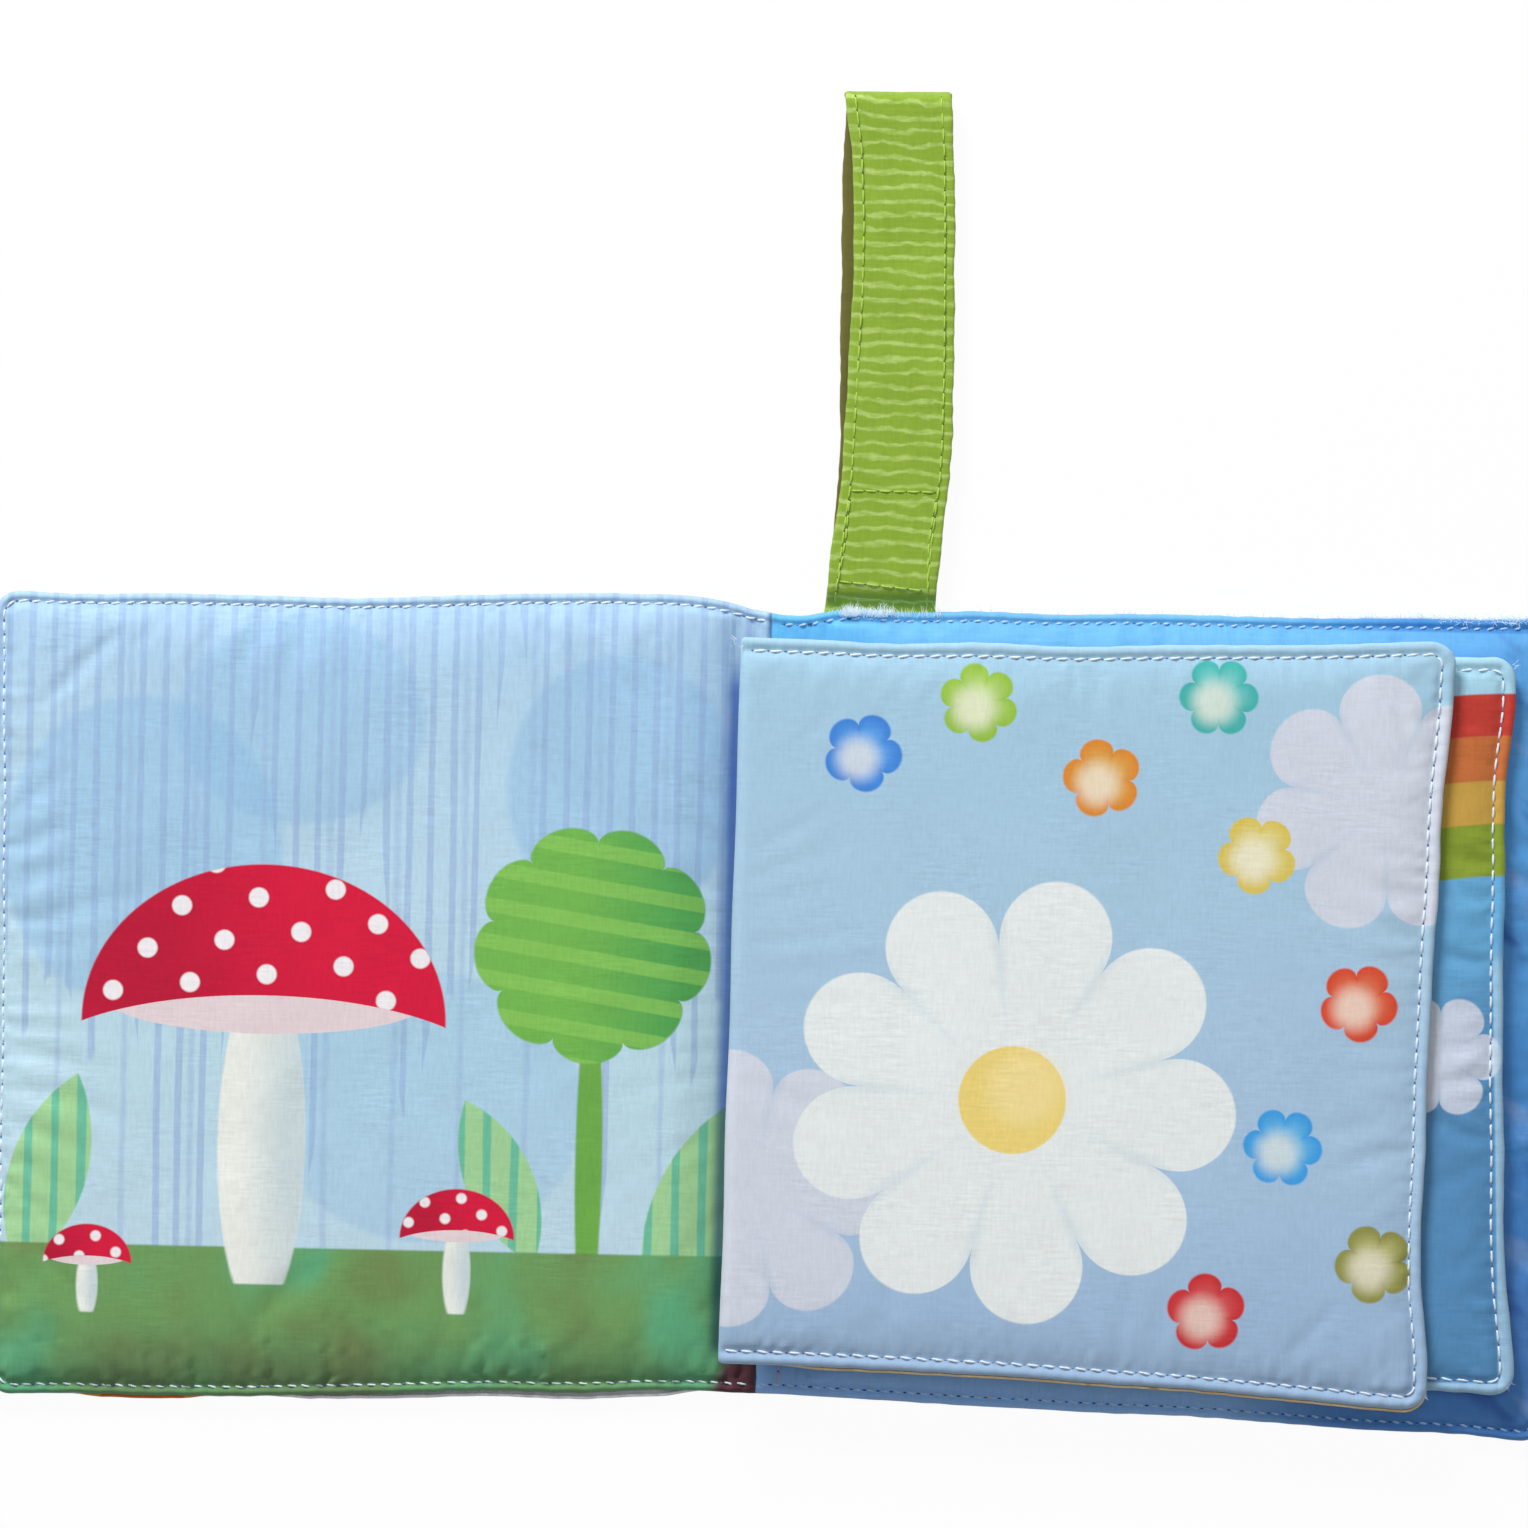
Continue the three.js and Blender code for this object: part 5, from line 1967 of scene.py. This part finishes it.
        up = np.tile((0.0, 0.9, 0.55), (tuft_x.size, 1))
        tuft = pile("strap_root_pile", beside(tuft_x, tuft_y, tuft_z), up, 1.5, 0.12, 73)
        for piece in (edge, tuft):
            wardrobe.dress(piece, "fuzz")
            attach(piece, "back_cover")
            LOG.info("made %s", piece.name)


# Middle of each bunch of loose thread ends at a leaf's corners, in mm, and its number of threads
FRAYS = {
    "leaf_1": ((125.5, -72.7, 12.0, 9), (-8.4, 68.2, 13.0, 7)),
    "leaf_2": ((141.3, -70.0, 8.3, 15), (140.6, 67.4, 8.2, 5)),
}


@dataclass
class Leaves:
    """The two padded leaves, their stitches and their loose thread ends."""

    width: float = 135.4
    spine_height: float = 139.4
    draw_in: float = 1.3
    leaf_1_root: float = -8.5
    leaf_2_root: float = 7.0
    leaf_1_middle: float = 12.2
    leaf_2_middle: float = 8.2
    padding: Padding = field(
        default_factory=lambda: Padding(
            level=0.0,
            edge=0.02,
            rim=0.9,
            channel=0.42,
            crown=1.74,
            head_room=0.3,
            seam_inset=2.5,
            roll=1.1,
            crown_run=20,
            crown_speed=4.6,
            root=RootEdge.FOLD,
            root_run=2.4,
        )
    )

    def panel(
        self,
        root_x: float,
        reach: float,
        fore_height: float,
        shift_y: float,
        slant: float,
        flare: tuple[float, float],
        skew: float = 0.0,
    ) -> Panel:
        """Outline of a leaf."""
        return Panel(
            root_x,
            reach,
            self.spine_height,
            fore_height,
            self.draw_in,
            -LAY_TURN,
            shift_y,
            corner=5.0,
            root_corner=0.9,
            fore_slant=slant,
            flare=flare,
            skew=skew,
        )

    def cloths(self) -> list[PaddedCloth]:
        """The four cloths of the two leaves."""
        fore_1 = self.leaf_1_root + self.width + 0.3
        fore_2 = self.leaf_2_root + self.width - 1.0
        panels = {
            "leaf_1": self.panel(self.leaf_1_root, fore_1, 148.0, -0.15, 0.0185, (0.3, 1.7), 0.0059),
            "leaf_2": self.panel(self.leaf_2_root, fore_2, 142.4, -0.6, -0.0285, (1.2, 1.2)),
        }
        middles = {"leaf_1": self.leaf_1_middle, "leaf_2": self.leaf_2_middle}
        finishes = {
            ("leaf_1", Side.UP): ("daisies", "leaf_print"),
            ("leaf_1", Side.DOWN): ("sand", "sand_print"),
            ("leaf_2", Side.UP): ("rainbow", "rainbow_print"),
            ("leaf_2", Side.DOWN): ("bubbles", "blue_print"),
        }
        creases = {
            ("leaf_1", Side.UP): (
                Crease((114, 70), (122, 46), 1.5, -0.42),
                Crease((119.5, 69), (124, 58), 1.2, -0.26),
                Crease((108, 70), (112, 58), 1.4, -0.2),
                Crease((126, -30), (98, -14), 5.0, -0.25),
                Crease((126, -52), (104, -40), 4.0, 0.22),
                Crease((20, -70), (26, -52), 3.0, -0.2),
            ),
            ("leaf_2", Side.UP): (
                Crease((141, 28), (126, 33), 1.5, -0.5),
                Crease((141, 9), (123, 14), 1.6, -0.6),
                Crease((141, -6), (124, -11), 1.3, 0.4),
                Crease((141, -25), (121, -17), 1.7, -0.65),
                Crease((142, -46), (128, -42), 2.0, 0.3),
            ),
        }
        made = []
        for number, ((leaf, side), (finish, slot)) in enumerate(finishes.items()):
            padding = replace(self.padding, level=middles[leaf])
            panel = replace(panels[leaf], peeking=(leaf, side) == ("leaf_1", Side.DOWN))
            face = "front" if side is Side.UP else "back"
            made.append(
                PaddedCloth(
                    f"{leaf}_{face}_page",
                    panel,
                    padding,
                    side,
                    finish,
                    slot,
                    leaf,
                    (f"{leaf}_{face}",),
                    50 + number * 7,
                    thickness=0.4,
                    undulation=0.15,
                    gather=0.16 if side is Side.UP else 0.1,
                    gather_pitch=3.3,
                    foot_gather=1.5,
                    pucker=0.09,
                    wrinkle=0.75 if side is Side.UP else 0.4,
                    step=FINE_STEP if side is Side.UP else COARSE_STEP,
                    creases=creases.get((leaf, side), ()),
                    mirrored=side is Side.DOWN,
                )
            )
        return made

    def build(self, wardrobe: Wardrobe) -> None:
        """Makes the leaves and their stitches.

        Args:
            wardrobe: The finishes.
        """
        for cloth in self.cloths():
            cloth.finish_up(cloth.build(), wardrobe)
            thread = "needle" if cloth.side is Side.UP else "bobbin"
            leaf = cloth.body
            stitching = Stitching(
                f"{leaf}_{thread}_stitches",
                "pale_thread",
                "pale_thread",
                leaf,
                (f"{leaf}_{thread}_thread",),
                3.05,
                0.76,
                0.47,
                seed=cloth.seed,
            )
            stitching.finish_up(stitching.build([cloth.seam_line(0.9)], cloth.side.value), wardrobe)
            LOG.info("made %s and its stitches", cloth.name)
        self.build_frays(wardrobe)

    def build_frays(self, wardrobe: Wardrobe) -> None:
        """Makes the loose thread ends at the leaves' corners.

        Args:
            wardrobe: The finishes.
        """
        rng = np.random.default_rng(88)
        for leaf, spots in FRAYS.items():
            roots, out = [], []
            for x, y, z, count in spots:
                roots.append(rng.normal((x, y, z), (0.8, 0.6, 0.25), (count, 3)))
                out.append(np.tile((np.sign(x), np.sign(y), 0.1), (count, 1)))
            fray = pile(f"{leaf}_corner_fray", np.concatenate(roots), np.concatenate(out), 1.0, 0.13, 89)
            wardrobe.dress(fray, "fuzz")
            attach(fray, leaf)
            LOG.info("made %s", fray.name)


# Cross-sections x and z of the gathered ridge and of the cloth from it to each leaf, in mm
RIDGE_PATH = ((3.7, 2.2), (4.0, 4.0), (4.4, 5.6), (5.0, 6.2), (5.6, 5.6), (6.0, 4.0), (6.4, 2.2))
LOWER_TAIL_PATH = ((5.0, 5.6), (5.6, 6.6), (6.6, 7.5), (8.6, 8.1), (11.0, 8.3))
UPPER_TAIL_PATH = (
    (8.6, 9.3),
    (5.0, 9.9),
    (0.5, 9.7),
    (-4.0, 9.6),
    (-6.6, 10.3),
    (-7.3, 11.5),
    (-6.0, 12.2),
    (-4.0, 12.2),
)

# Foot and head of these cloths, in mm
TAIL_ENDS = (-68.6, 67.4)


@dataclass
class Spine:
    """The spine's outer cloth, the leaves' tails and the sewn lines on the spine."""

    half_width: float = 8.6
    head_y: float = 74.9
    foot_y: float = -75.1
    inner_top: float = 1.5
    outer_top: float = 0.7

    def strip(self) -> bpy.types.Object:
        """Makes the outer cloth across the spine.

        Returns:
            The strip's object.
        """
        across = np.linspace(-self.half_width, self.half_width, 49)
        along = row_places(self.head_y - self.foot_y, RIM_ROWS, RIM_ROWS) + self.foot_y
        x, y = np.meshgrid(across, along, indexing="ij")
        least = np.minimum(self.head_y - y, y - self.foot_y)
        z = self.outer_top - 0.4 * (1 - np.sqrt(1 - (1 - np.clip(least / 1.1, 0, 1)) ** 2))
        y = y + edge_warp(x, y)
        points = beside(x, y, z)
        piece = new_piece("spine_outside", points, grid_faces(*x.shape))
        thicken(piece, 0.5)
        return piece

    def tail(self, name: str, path: Sequence[tuple[float, float]], seed: int) -> bpy.types.Object:
        """Makes the soft cloth that carries a leaf.

        Args:
            name: The piece's name.
            path: Places x and z along its cross-section, in mm.
            seed: Start of the random draws.

        Returns:
            The cloth's object.
        """
        route = np.array(path)
        steps = distances(route)
        even = np.linspace(0, steps[-1], max(8, round(steps[-1] / 0.5)))
        across = np.interp(even, steps, route[:, 0])
        up = np.interp(even, steps, route[:, 1])
        for _ in range(6):
            across[1:-1] = (across[:-2] + 2 * across[1:-1] + across[2:]) / 4
            up[1:-1] = (up[:-2] + 2 * up[1:-1] + up[2:]) / 4
        along = np.linspace(*TAIL_ENDS, 110)
        x, y = np.meshgrid(across, along, indexing="ij")
        z = np.repeat(up[:, None], along.size, axis=1)
        inner = np.sin(np.linspace(0, math.pi, even.size))[:, None]
        x = x + 0.16 * ripple(y, 7, seed) * inner
        z = z + 0.12 * ripple(y, 9, seed + 1) * inner
        flat_x = np.repeat(even[:, None], along.size, axis=1)
        places = beside(flat_x, y, np.zeros(x.size))
        points = beside(x, y, z)
        piece = new_piece(name, points, grid_faces(*x.shape), places)
        thicken(piece, 0.3, 0)
        return piece

    def build(self, wardrobe: Wardrobe) -> None:
        """Makes the spine's pieces.

        Args:
            wardrobe: The finishes.
        """
        outer = self.strip()
        wardrobe.dress(outer, "outside")
        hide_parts("spine_outer")
        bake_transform(outer)
        LOG.info("made %s", outer.name)
        self.build_tails(wardrobe)
        self.build_seams(wardrobe)

    def build_tails(self, wardrobe: Wardrobe) -> None:
        """Makes the gathered ridge and the cloth from it to each leaf.

        Args:
            wardrobe: The finishes.
        """
        ridge = self.tail("leaf_gutter_cloth", RIDGE_PATH, 3)
        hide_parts("leaf_gutter")
        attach(ridge, "back_cover")
        lower = self.tail("leaf_2_tail", LOWER_TAIL_PATH, 5)
        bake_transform(lower)
        upper = self.tail("leaf_1_tail", UPPER_TAIL_PATH, 7)
        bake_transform(upper)
        for piece in (ridge, lower, upper):
            wardrobe.dress(piece, "tail")
            LOG.info("made %s", piece.name)

    def build_seams(self, wardrobe: Wardrobe) -> None:
        """Makes the sewn lines that run along the spine.

        Args:
            wardrobe: The finishes.
        """
        along = np.arange(self.foot_y + 0.8, self.head_y - 3.2, 0.25)
        for name, node, finish, slot, x in (
            ("gutter_stitches", "leaf_gutter_seam", "pink_thread", "pink_thread", 2.9),
            ("spine_front_stitches", "spine_front_seam", "pale_thread", "pale_thread", -5.0),
        ):
            run = along if x > 0 else along[np.abs(along) < 66]
            line = beside(x + run * 0.008, run, np.full(run.size, self.inner_top + 0.35))
            stitching = Stitching(name, finish, slot, "back_cover", (node,), 2.7, 0.8, 0.42)
            stitching.finish_up(stitching.build([line], 1), wardrobe)
            LOG.info("made %s", name)


# Middle and half width of the strap at places along it, in mm
STRAP_Y = (75, 78.5, 87.6, 101, 108, 122, 136, 150, 164, 175)
STRAP_MIDDLE = (18.8, 19.05, 19.8, 21.3, 21.6, 21.9, 22.1, 22.0, 21.4, 20.2)
STRAP_HALF = (10.7, 10.7, 10.45, 10.4, 10.4, 10.2, 9.8, 9.7, 9.85, 10.2)

# Sideways shift of the back leg at places along it, in mm
BACK_SHIFT_Y = (79.6, 95, 100, 108, 136, 150, 165, 173)
BACK_SHIFT = (-0.2, -0.4, -0.75, -1.0, -1.9, -1.8, -1.2, 0.0)

# Start and end of the bend at the strap's root and at its fold, in m
ROOT_BEND = ((0.02, 0.0758, 0.001), (0.02, 0.0795, 0.001))
FOLD_BEND = ((0.02, 0.173, 0.0036), (0.02, 0.173, 0.0020))

# Lengths of the two ribbons laid flat, in mm
FRONT_FLAT, BACK_FLAT = 103.0, 96.0

# The box's foot and head on the strap in mm, and how each of the two lines slopes
BOX_LINES = ((80.05, -0.09), (98.3, 0.0))

# Finish and slot of the strap's thread, and how far its stitches slant
STRAP_THREAD = "green_thread"
STRAP_SLANT = 0.04


@dataclass
class Strap:
    """The folded carry strap: front ribbon, fold and back ribbon, and stitches."""

    width: float = 20.0
    cloth: float = 1.0
    tip_y: float = 175.3
    back_height: float = 0.8
    front_height: float = 3.9
    stitch_inset: float = 1.9
    tab_y: float = 71.0
    back_end_y: float = 79.6

    @property
    def fold_radius(self) -> float:
        """Radius of the fold at the tip."""
        return (self.front_height - self.back_height) / 2

    @property
    def fold_y(self) -> float:
        """Where the legs end and the fold begins."""
        return self.tip_y - self.fold_radius - self.cloth / 2

    def middle(self, y: Array) -> Array:
        """Middle of the strap across its width at each place along it."""
        return np.interp(y, STRAP_Y, STRAP_MIDDLE)

    def spread(self, y: Array) -> Array:
        """Half width of the front leg at each place along it, as a share of the plain one."""
        return np.interp(y, STRAP_Y, STRAP_HALF) / (self.width / 2)

    def ribbon(
        self,
        name: str,
        path: Array,
        shift: Array,
        spread: Array,
        thickness: Array,
        seed: int,
        flat_start: float,
    ) -> bpy.types.Object:
        """Makes a closed ribbon along a path in the YZ plane.

        Args:
            name: The piece's name.
            path: One row of y and z for each place, in mm.
            shift: Sideways shift at each place, in mm.
            spread: Width at each place, as a share of the plain one.
            thickness: Thickness at each place, in mm.
            seed: Start of the random draws.
            flat_start: Place of the first point on the flat ribbon, in mm.

        Returns:
            The ribbon's object.
        """
        half = self.width / 2
        left_edge = [-half, -half + 0.12, -half + 0.5]
        right_edge = [half - 0.5, half - 0.12, half]
        across = np.concatenate([left_edge, np.linspace(-half + 1.2, half - 1.2, 22), right_edge])
        reach = np.abs(across)
        round_off = np.sqrt(np.clip(1 - np.clip((reach - half + 0.5) / 0.5, 0, 1) ** 2, 0, 1))
        groove = np.exp(-(((reach - half + self.stitch_inset) / 0.5) ** 2))
        run = distances(path)
        tangent = np.gradient(path, run, axis=0)
        tangent /= np.linalg.norm(tangent, axis=1)[:, None]
        count, width = len(path), len(across)
        edge = 0.22 * ripple(run, 13, seed) + 0.08 * ripple(run, 3.1, seed + 1)
        middle = self.middle(path[:, 0]) + shift + 0.12 * ripple(run, 24, seed + 2)
        wave = 0.16 * ripple(run, 19, seed + 3)
        points = []
        for face in (1, -1):
            up = face * (thickness[:, None] / 2) * (0.25 + 0.75 * round_off) - face * 0.05 * groove
            pucker = 0.06 * ripple(run, 3.1, seed + 4)[:, None] * np.exp(-(((reach - half + 1.4) / 1.4) ** 2))
            tilt = np.sin(across / half * 1.3 + run[:, None] / 17) * 0.12
            rise = up + face * pucker + wave[:, None] + tilt
            uneven = edge[:, None] / half * np.where(across > 0, 1, -0.6) * np.sign(across)
            x = middle[:, None] + across * (spread[:, None] + uneven)
            y = path[:, 0, None] - rise * tangent[:, 1, None]
            z = path[:, 1, None] + rise * tangent[:, 0, None]
            points.append(np.stack([x, y, z], axis=2))
        upper, lower = points
        loop = np.concatenate([upper, lower[:, ::-1]], axis=1)
        sides = 2 * width
        flat_x = np.concatenate([across, across[::-1]])
        flat_y = flat_start + run
        places = np.zeros((count, sides, 3))
        places[..., 0] = flat_x
        places[..., 1] = flat_y[:, None]
        places[:, width:, 2] = MARK
        faces = [tuple(reversed(face)) for face in closed_tube_faces(count, sides)]
        return new_piece(name, loop.reshape(-1, 3), faces, places.reshape(-1, 3))

    def front_path(self) -> Array:
        """Path of the front leg, from the tab in the seam to the fold's end."""
        ramp = [(self.tab_y, 1.45), (75.4, 1.45), (76.4, 1.55), (77.6, 2.3), (78.8, 3.4), (80.2, 3.85)]
        route = np.array([*ramp, (82.0, self.front_height), (self.fold_y, self.front_height)])
        bend = self.fold_points(math.pi / 2, 0.12)
        return self.even(np.concatenate([route, bend[1:]]))

    def back_path(self) -> Array:
        """Path of the rest of the fold and the back leg."""
        bend = self.fold_points(0.12, -math.pi / 2)
        return self.even(np.concatenate([bend, [(self.back_end_y, self.back_height)]]))

    def fold_points(self, first: float, last: float) -> Array:
        """Points on the fold between two angles."""
        angles = np.linspace(first, last, 12)
        middle = (self.front_height + self.back_height) / 2
        along = self.fold_y + self.fold_radius * np.cos(angles)
        height = middle + self.fold_radius * np.sin(angles)
        return beside(along, height)

    def even(self, route: Array) -> Array:
        """Spaces the places of a route evenly."""
        run = distances(route)
        fine = np.arange(0, run[-1], 0.6)
        return points_at(route, run, np.concatenate([fine, [run[-1]]]))

    def build(self, wardrobe: Wardrobe) -> None:
        """Makes the strap.

        Args:
            wardrobe: The finishes.
        """
        front = self.front_path()
        back = self.back_path()
        front_thickness = np.interp(front[:, 0], (self.tab_y, 76, 79), (0.35, 0.5, self.cloth))
        front_spread = self.spread(front[:, 0])
        front_piece = self.ribbon(
            "strap_front_ribbon", front, np.zeros(len(front)), front_spread, front_thickness, 101, 0.0
        )
        back_shift = np.interp(back[:, 0], BACK_SHIFT_Y, BACK_SHIFT)
        back_spread = np.interp(back[:, 0], (self.fold_y - 12, self.fold_y), (1.02, float(front_spread[-1])))
        back_start = float(np.linalg.norm(np.diff(front, axis=0), axis=1).sum())
        back_thickness = np.full(len(back), self.cloth)
        back_piece = self.ribbon(
            "strap_back_ribbon", back, back_shift, back_spread, back_thickness, 117, back_start
        )
        front_nodes = ("strap_root_tab", "strap_front_leg")
        for piece, nodes, bodies, (start, end), length in (
            (front_piece, front_nodes, ("back_cover", "strap"), ROOT_BEND, FRONT_FLAT),
            (back_piece, ("strap_back_leg",), ("strap", "strap_tail"), FOLD_BEND, BACK_FLAT),
        ):
            wardrobe.dress(piece, "strap")
            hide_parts(*nodes)
            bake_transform(piece)
            LOG.info("made %s", piece.name)
        self.build_stitches(wardrobe)

    def place_front(self, piece: bpy.types.Object) -> None:
        """Fixes a piece where it stands on the frame."""
        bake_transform(piece)

    def build_stitches(self, wardrobe: Wardrobe) -> None:
        """Makes the strap's stitches.

        Args:
            wardrobe: The finishes.
        """
        path = self.front_path()
        rise = self.cloth / 2 + 0.02
        along = np.arange(76.4, self.fold_y, 0.25)
        height = np.interp(along, path[:, 0], path[:, 1]) + np.interp(along, (76, 79), (rise - 0.25, rise))
        tip = self.fold_points(math.pi / 2, 0.45)[1:]
        bend = tip - (self.fold_y, (self.front_height + self.back_height) / 2)
        tip = tip + bend / np.linalg.norm(bend, axis=1)[:, None] * rise
        along = np.concatenate([along, tip[:, 0]])
        height = np.concatenate([height, tip[:, 1]])
        back_along = np.arange(80.6, self.fold_y, 0.25)
        back_height = np.full(back_along.size, self.back_height - rise)
        back_middle = self.middle(back_along) + np.interp(back_along, BACK_SHIFT_Y, BACK_SHIFT)
        half = self.width / 2
        for side, name in ((-1, "left"), (1, "right")):
            front_inset = half * self.spread(along) - self.stitch_inset
            front = beside(self.middle(along) + side * front_inset, along, height)
            back_x = back_middle + side * (half - self.stitch_inset)
            back = beside(back_x, back_along, back_height)
            for leg, line, up, place in (("front", front, 1, self.place_front), ("back", back, -1, None)):
                title = f"strap_{leg}_{name}_stitches"
                nodes = (f"strap_{leg}_{name}_thread",)
                sizes = (3.0, 0.84, 0.36)
                stitching = Stitching(
                    title, STRAP_THREAD, STRAP_THREAD, "strap_tail", nodes, *sizes, slant=STRAP_SLANT
                )
                stitching.finish_up(stitching.build([line], up), wardrobe, place)
        box = []
        top = self.front_height + rise
        for y, slope in BOX_LINES:
            reach = half * float(self.spread(np.array(y))) - self.stitch_inset
            across = np.arange(-reach, reach, 0.25)
            line_y = y + slope * across
            box.append(beside(self.middle(line_y) + across, line_y, np.full(across.size, top)))
        climb = np.arange(80.4, 98.3, 0.25)
        for side in (-1, 1):
            drawn_in = np.interp(climb, (80, 89, 98), (0.1, 0.5, 0.2))
            reach = half * self.spread(climb) - self.stitch_inset - drawn_in
            box.append(beside(self.middle(climb) + side * reach, climb, np.full(climb.size, top)))
        title = "strap_box_stitches"
        nodes = ("strap_box_seam",)
        sizes = (2.7, 0.84, 0.36)
        stitching = Stitching(
            title, STRAP_THREAD, STRAP_THREAD, "strap", nodes, *sizes, slant=STRAP_SLANT
        )
        stitching.finish_up(stitching.build(box, 1), wardrobe)
        LOG.info("made the strap's stitches")


# How far the wadding and the films lie below the padding's plain shape, in mm, pressed by the wrinkled cloth
PRESSED = {"cover": 0.8, "leaf": 0.4}


def dress_hidden_nodes(wardrobe: Wardrobe) -> None:
    """Dresses the part's own pieces that stay inside the padding and between the strap's legs.

    Args:
        wardrobe: The finishes.
    """
    endings = {
        "_wadding": "wadding",
        "_crinkle_film": "film",
        "_hook_patch": "hooks",
        "_loop_patch": "loops",
    }
    for name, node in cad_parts.items():
        for ending, finish in endings.items():
            if name.endswith(ending):
                held = node.data.attributes.new(CLOTH_PLACE, "FLOAT_VECTOR", "POINT")
                places = np.array([vertex.co for vertex in node.data.vertices], np.float32) / MM
                held.data.foreach_set("vector", places.ravel())
                wardrobe.dress(node, finish)
        if name.endswith(("_wadding", "_crinkle_film")):
            pressed = node.modifiers.new("pressed", "DISPLACE")
            pressed.mid_level = 0.0
            pressed.direction = "NORMAL" if name.endswith("_wadding") else "Z"
            pressed.strength = -PRESSED["cover" if "cover" in name else "leaf"] * MM


@dataclass
class Studio:
    """Floor, lights and camera."""

    centre: tuple[float, float] = (-2.88, 45.39)
    frame_width: float = 294.1
    height: float = 2400.0
    roll: float = math.radians(1.2)
    sensor: float = 36.0
    subject_height: float = 3.0
    sky_light: float = 0.22

    def build(self) -> None:
        """Makes the stage."""
        scene = bpy.context.scene
        scene.view_settings.view_transform = "Standard"
        self.add_camera(scene)
        self.add_floor()
        self.add_lights(scene)

    def add_camera(self, scene: bpy.types.Scene) -> None:
        """Adds the camera that looks straight down."""
        data = bpy.data.cameras.new("camera")
        data.sensor_width = self.sensor
        data.lens = self.sensor * (self.height - self.subject_height) / self.frame_width
        data.clip_start, data.clip_end = 0.01, 20
        camera = bpy.data.objects.new("camera", data)
        camera.location = (self.centre[0] * MM, self.centre[1] * MM, self.height * MM)
        camera.rotation_euler = (0, 0, self.roll)
        scene.collection.objects.link(camera)
        scene.camera = camera

    def add_floor(self) -> None:
        """Adds the white floor, which keeps the book's soft shadow."""
        half = 3000.0
        floor = new_piece(
            "floor",
            np.array([(-half, -half, -0.6), (half, -half, -0.6), (half, half, -0.6), (-half, half, -0.6)]),
            [(0, 1, 2, 3)],
        )
        made = bpy.data.materials.new("white_floor")
        made.use_nodes = True
        board = Board(made.node_tree)
        shader = made.node_tree.nodes["Principled BSDF"]
        shader.inputs["Base Color"].default_value = (0.9, 0.9, 0.9, 1)
        shader.inputs["Roughness"].default_value = 0.9
        light = board.node("ShaderNodeEmission")
        path = board.node("ShaderNodeLightPath")
        blend = board.node("ShaderNodeMixShader")
        share = board.times(path.outputs["Is Camera Ray"], 0.95)
        board.feed(blend.inputs[0], share)
        board.feed(blend.inputs[1], shader.outputs[0])
        board.feed(blend.inputs[2], light.outputs[0])
        board.feed(made.node_tree.nodes["Material Output"].inputs[0], blend.outputs[0])
        floor.data.materials.append(made)

    def add_lights(self, scene: bpy.types.Scene) -> None:
        """Adds a soft key from the book's head side, a wide fill and an even sky."""
        for name, place, size, power, aim in (
            ("key", (-0.5, 1.25, 0.9), 0.6, 26.0, (0, 0.03, 0)),
            ("overhead", (0.25, 0.2, 1.6), 1.2, 5.0, (0, 0, 0)),
        ):
            data = bpy.data.lights.new(name, "AREA")
            data.energy = power
            data.shape = "DISK"
            data.size = size
            lamp = bpy.data.objects.new(name, data)
            lamp.location = place
            towards = bpy.data.objects.new(f"{name}_aim", None)
            towards.location = aim
            direction = towards.location - lamp.location
            lamp.rotation_euler = direction.to_track_quat("-Z", "Y").to_euler()
            bpy.data.objects.remove(towards)
            scene.collection.objects.link(lamp)
        world = bpy.data.worlds.new("even_sky")
        world.use_nodes = True
        sky = world.node_tree.nodes["Background"]
        sky.inputs[0].default_value = (1, 1, 1, 1)
        board = Board(world.node_tree)
        path = board.node("ShaderNodeLightPath")
        extra = board.times(path.outputs["Is Camera Ray"], 1 - self.sky_light)
        board.feed(sky.inputs[1], board.plus(extra, self.sky_light))
        scene.world = world


def main() -> None:
    """Builds the book and its stage in order."""
    logging.basicConfig(level=logging.INFO, format="%(message)s")
    Studio().build()
    wardrobe = Wardrobe()
    Covers().build(wardrobe)
    Spine().build(wardrobe)
    Leaves().build(wardrobe)
    Strap().build(wardrobe)
    dress_hidden_nodes(wardrobe)


if __name__ == "__main__":
    main()
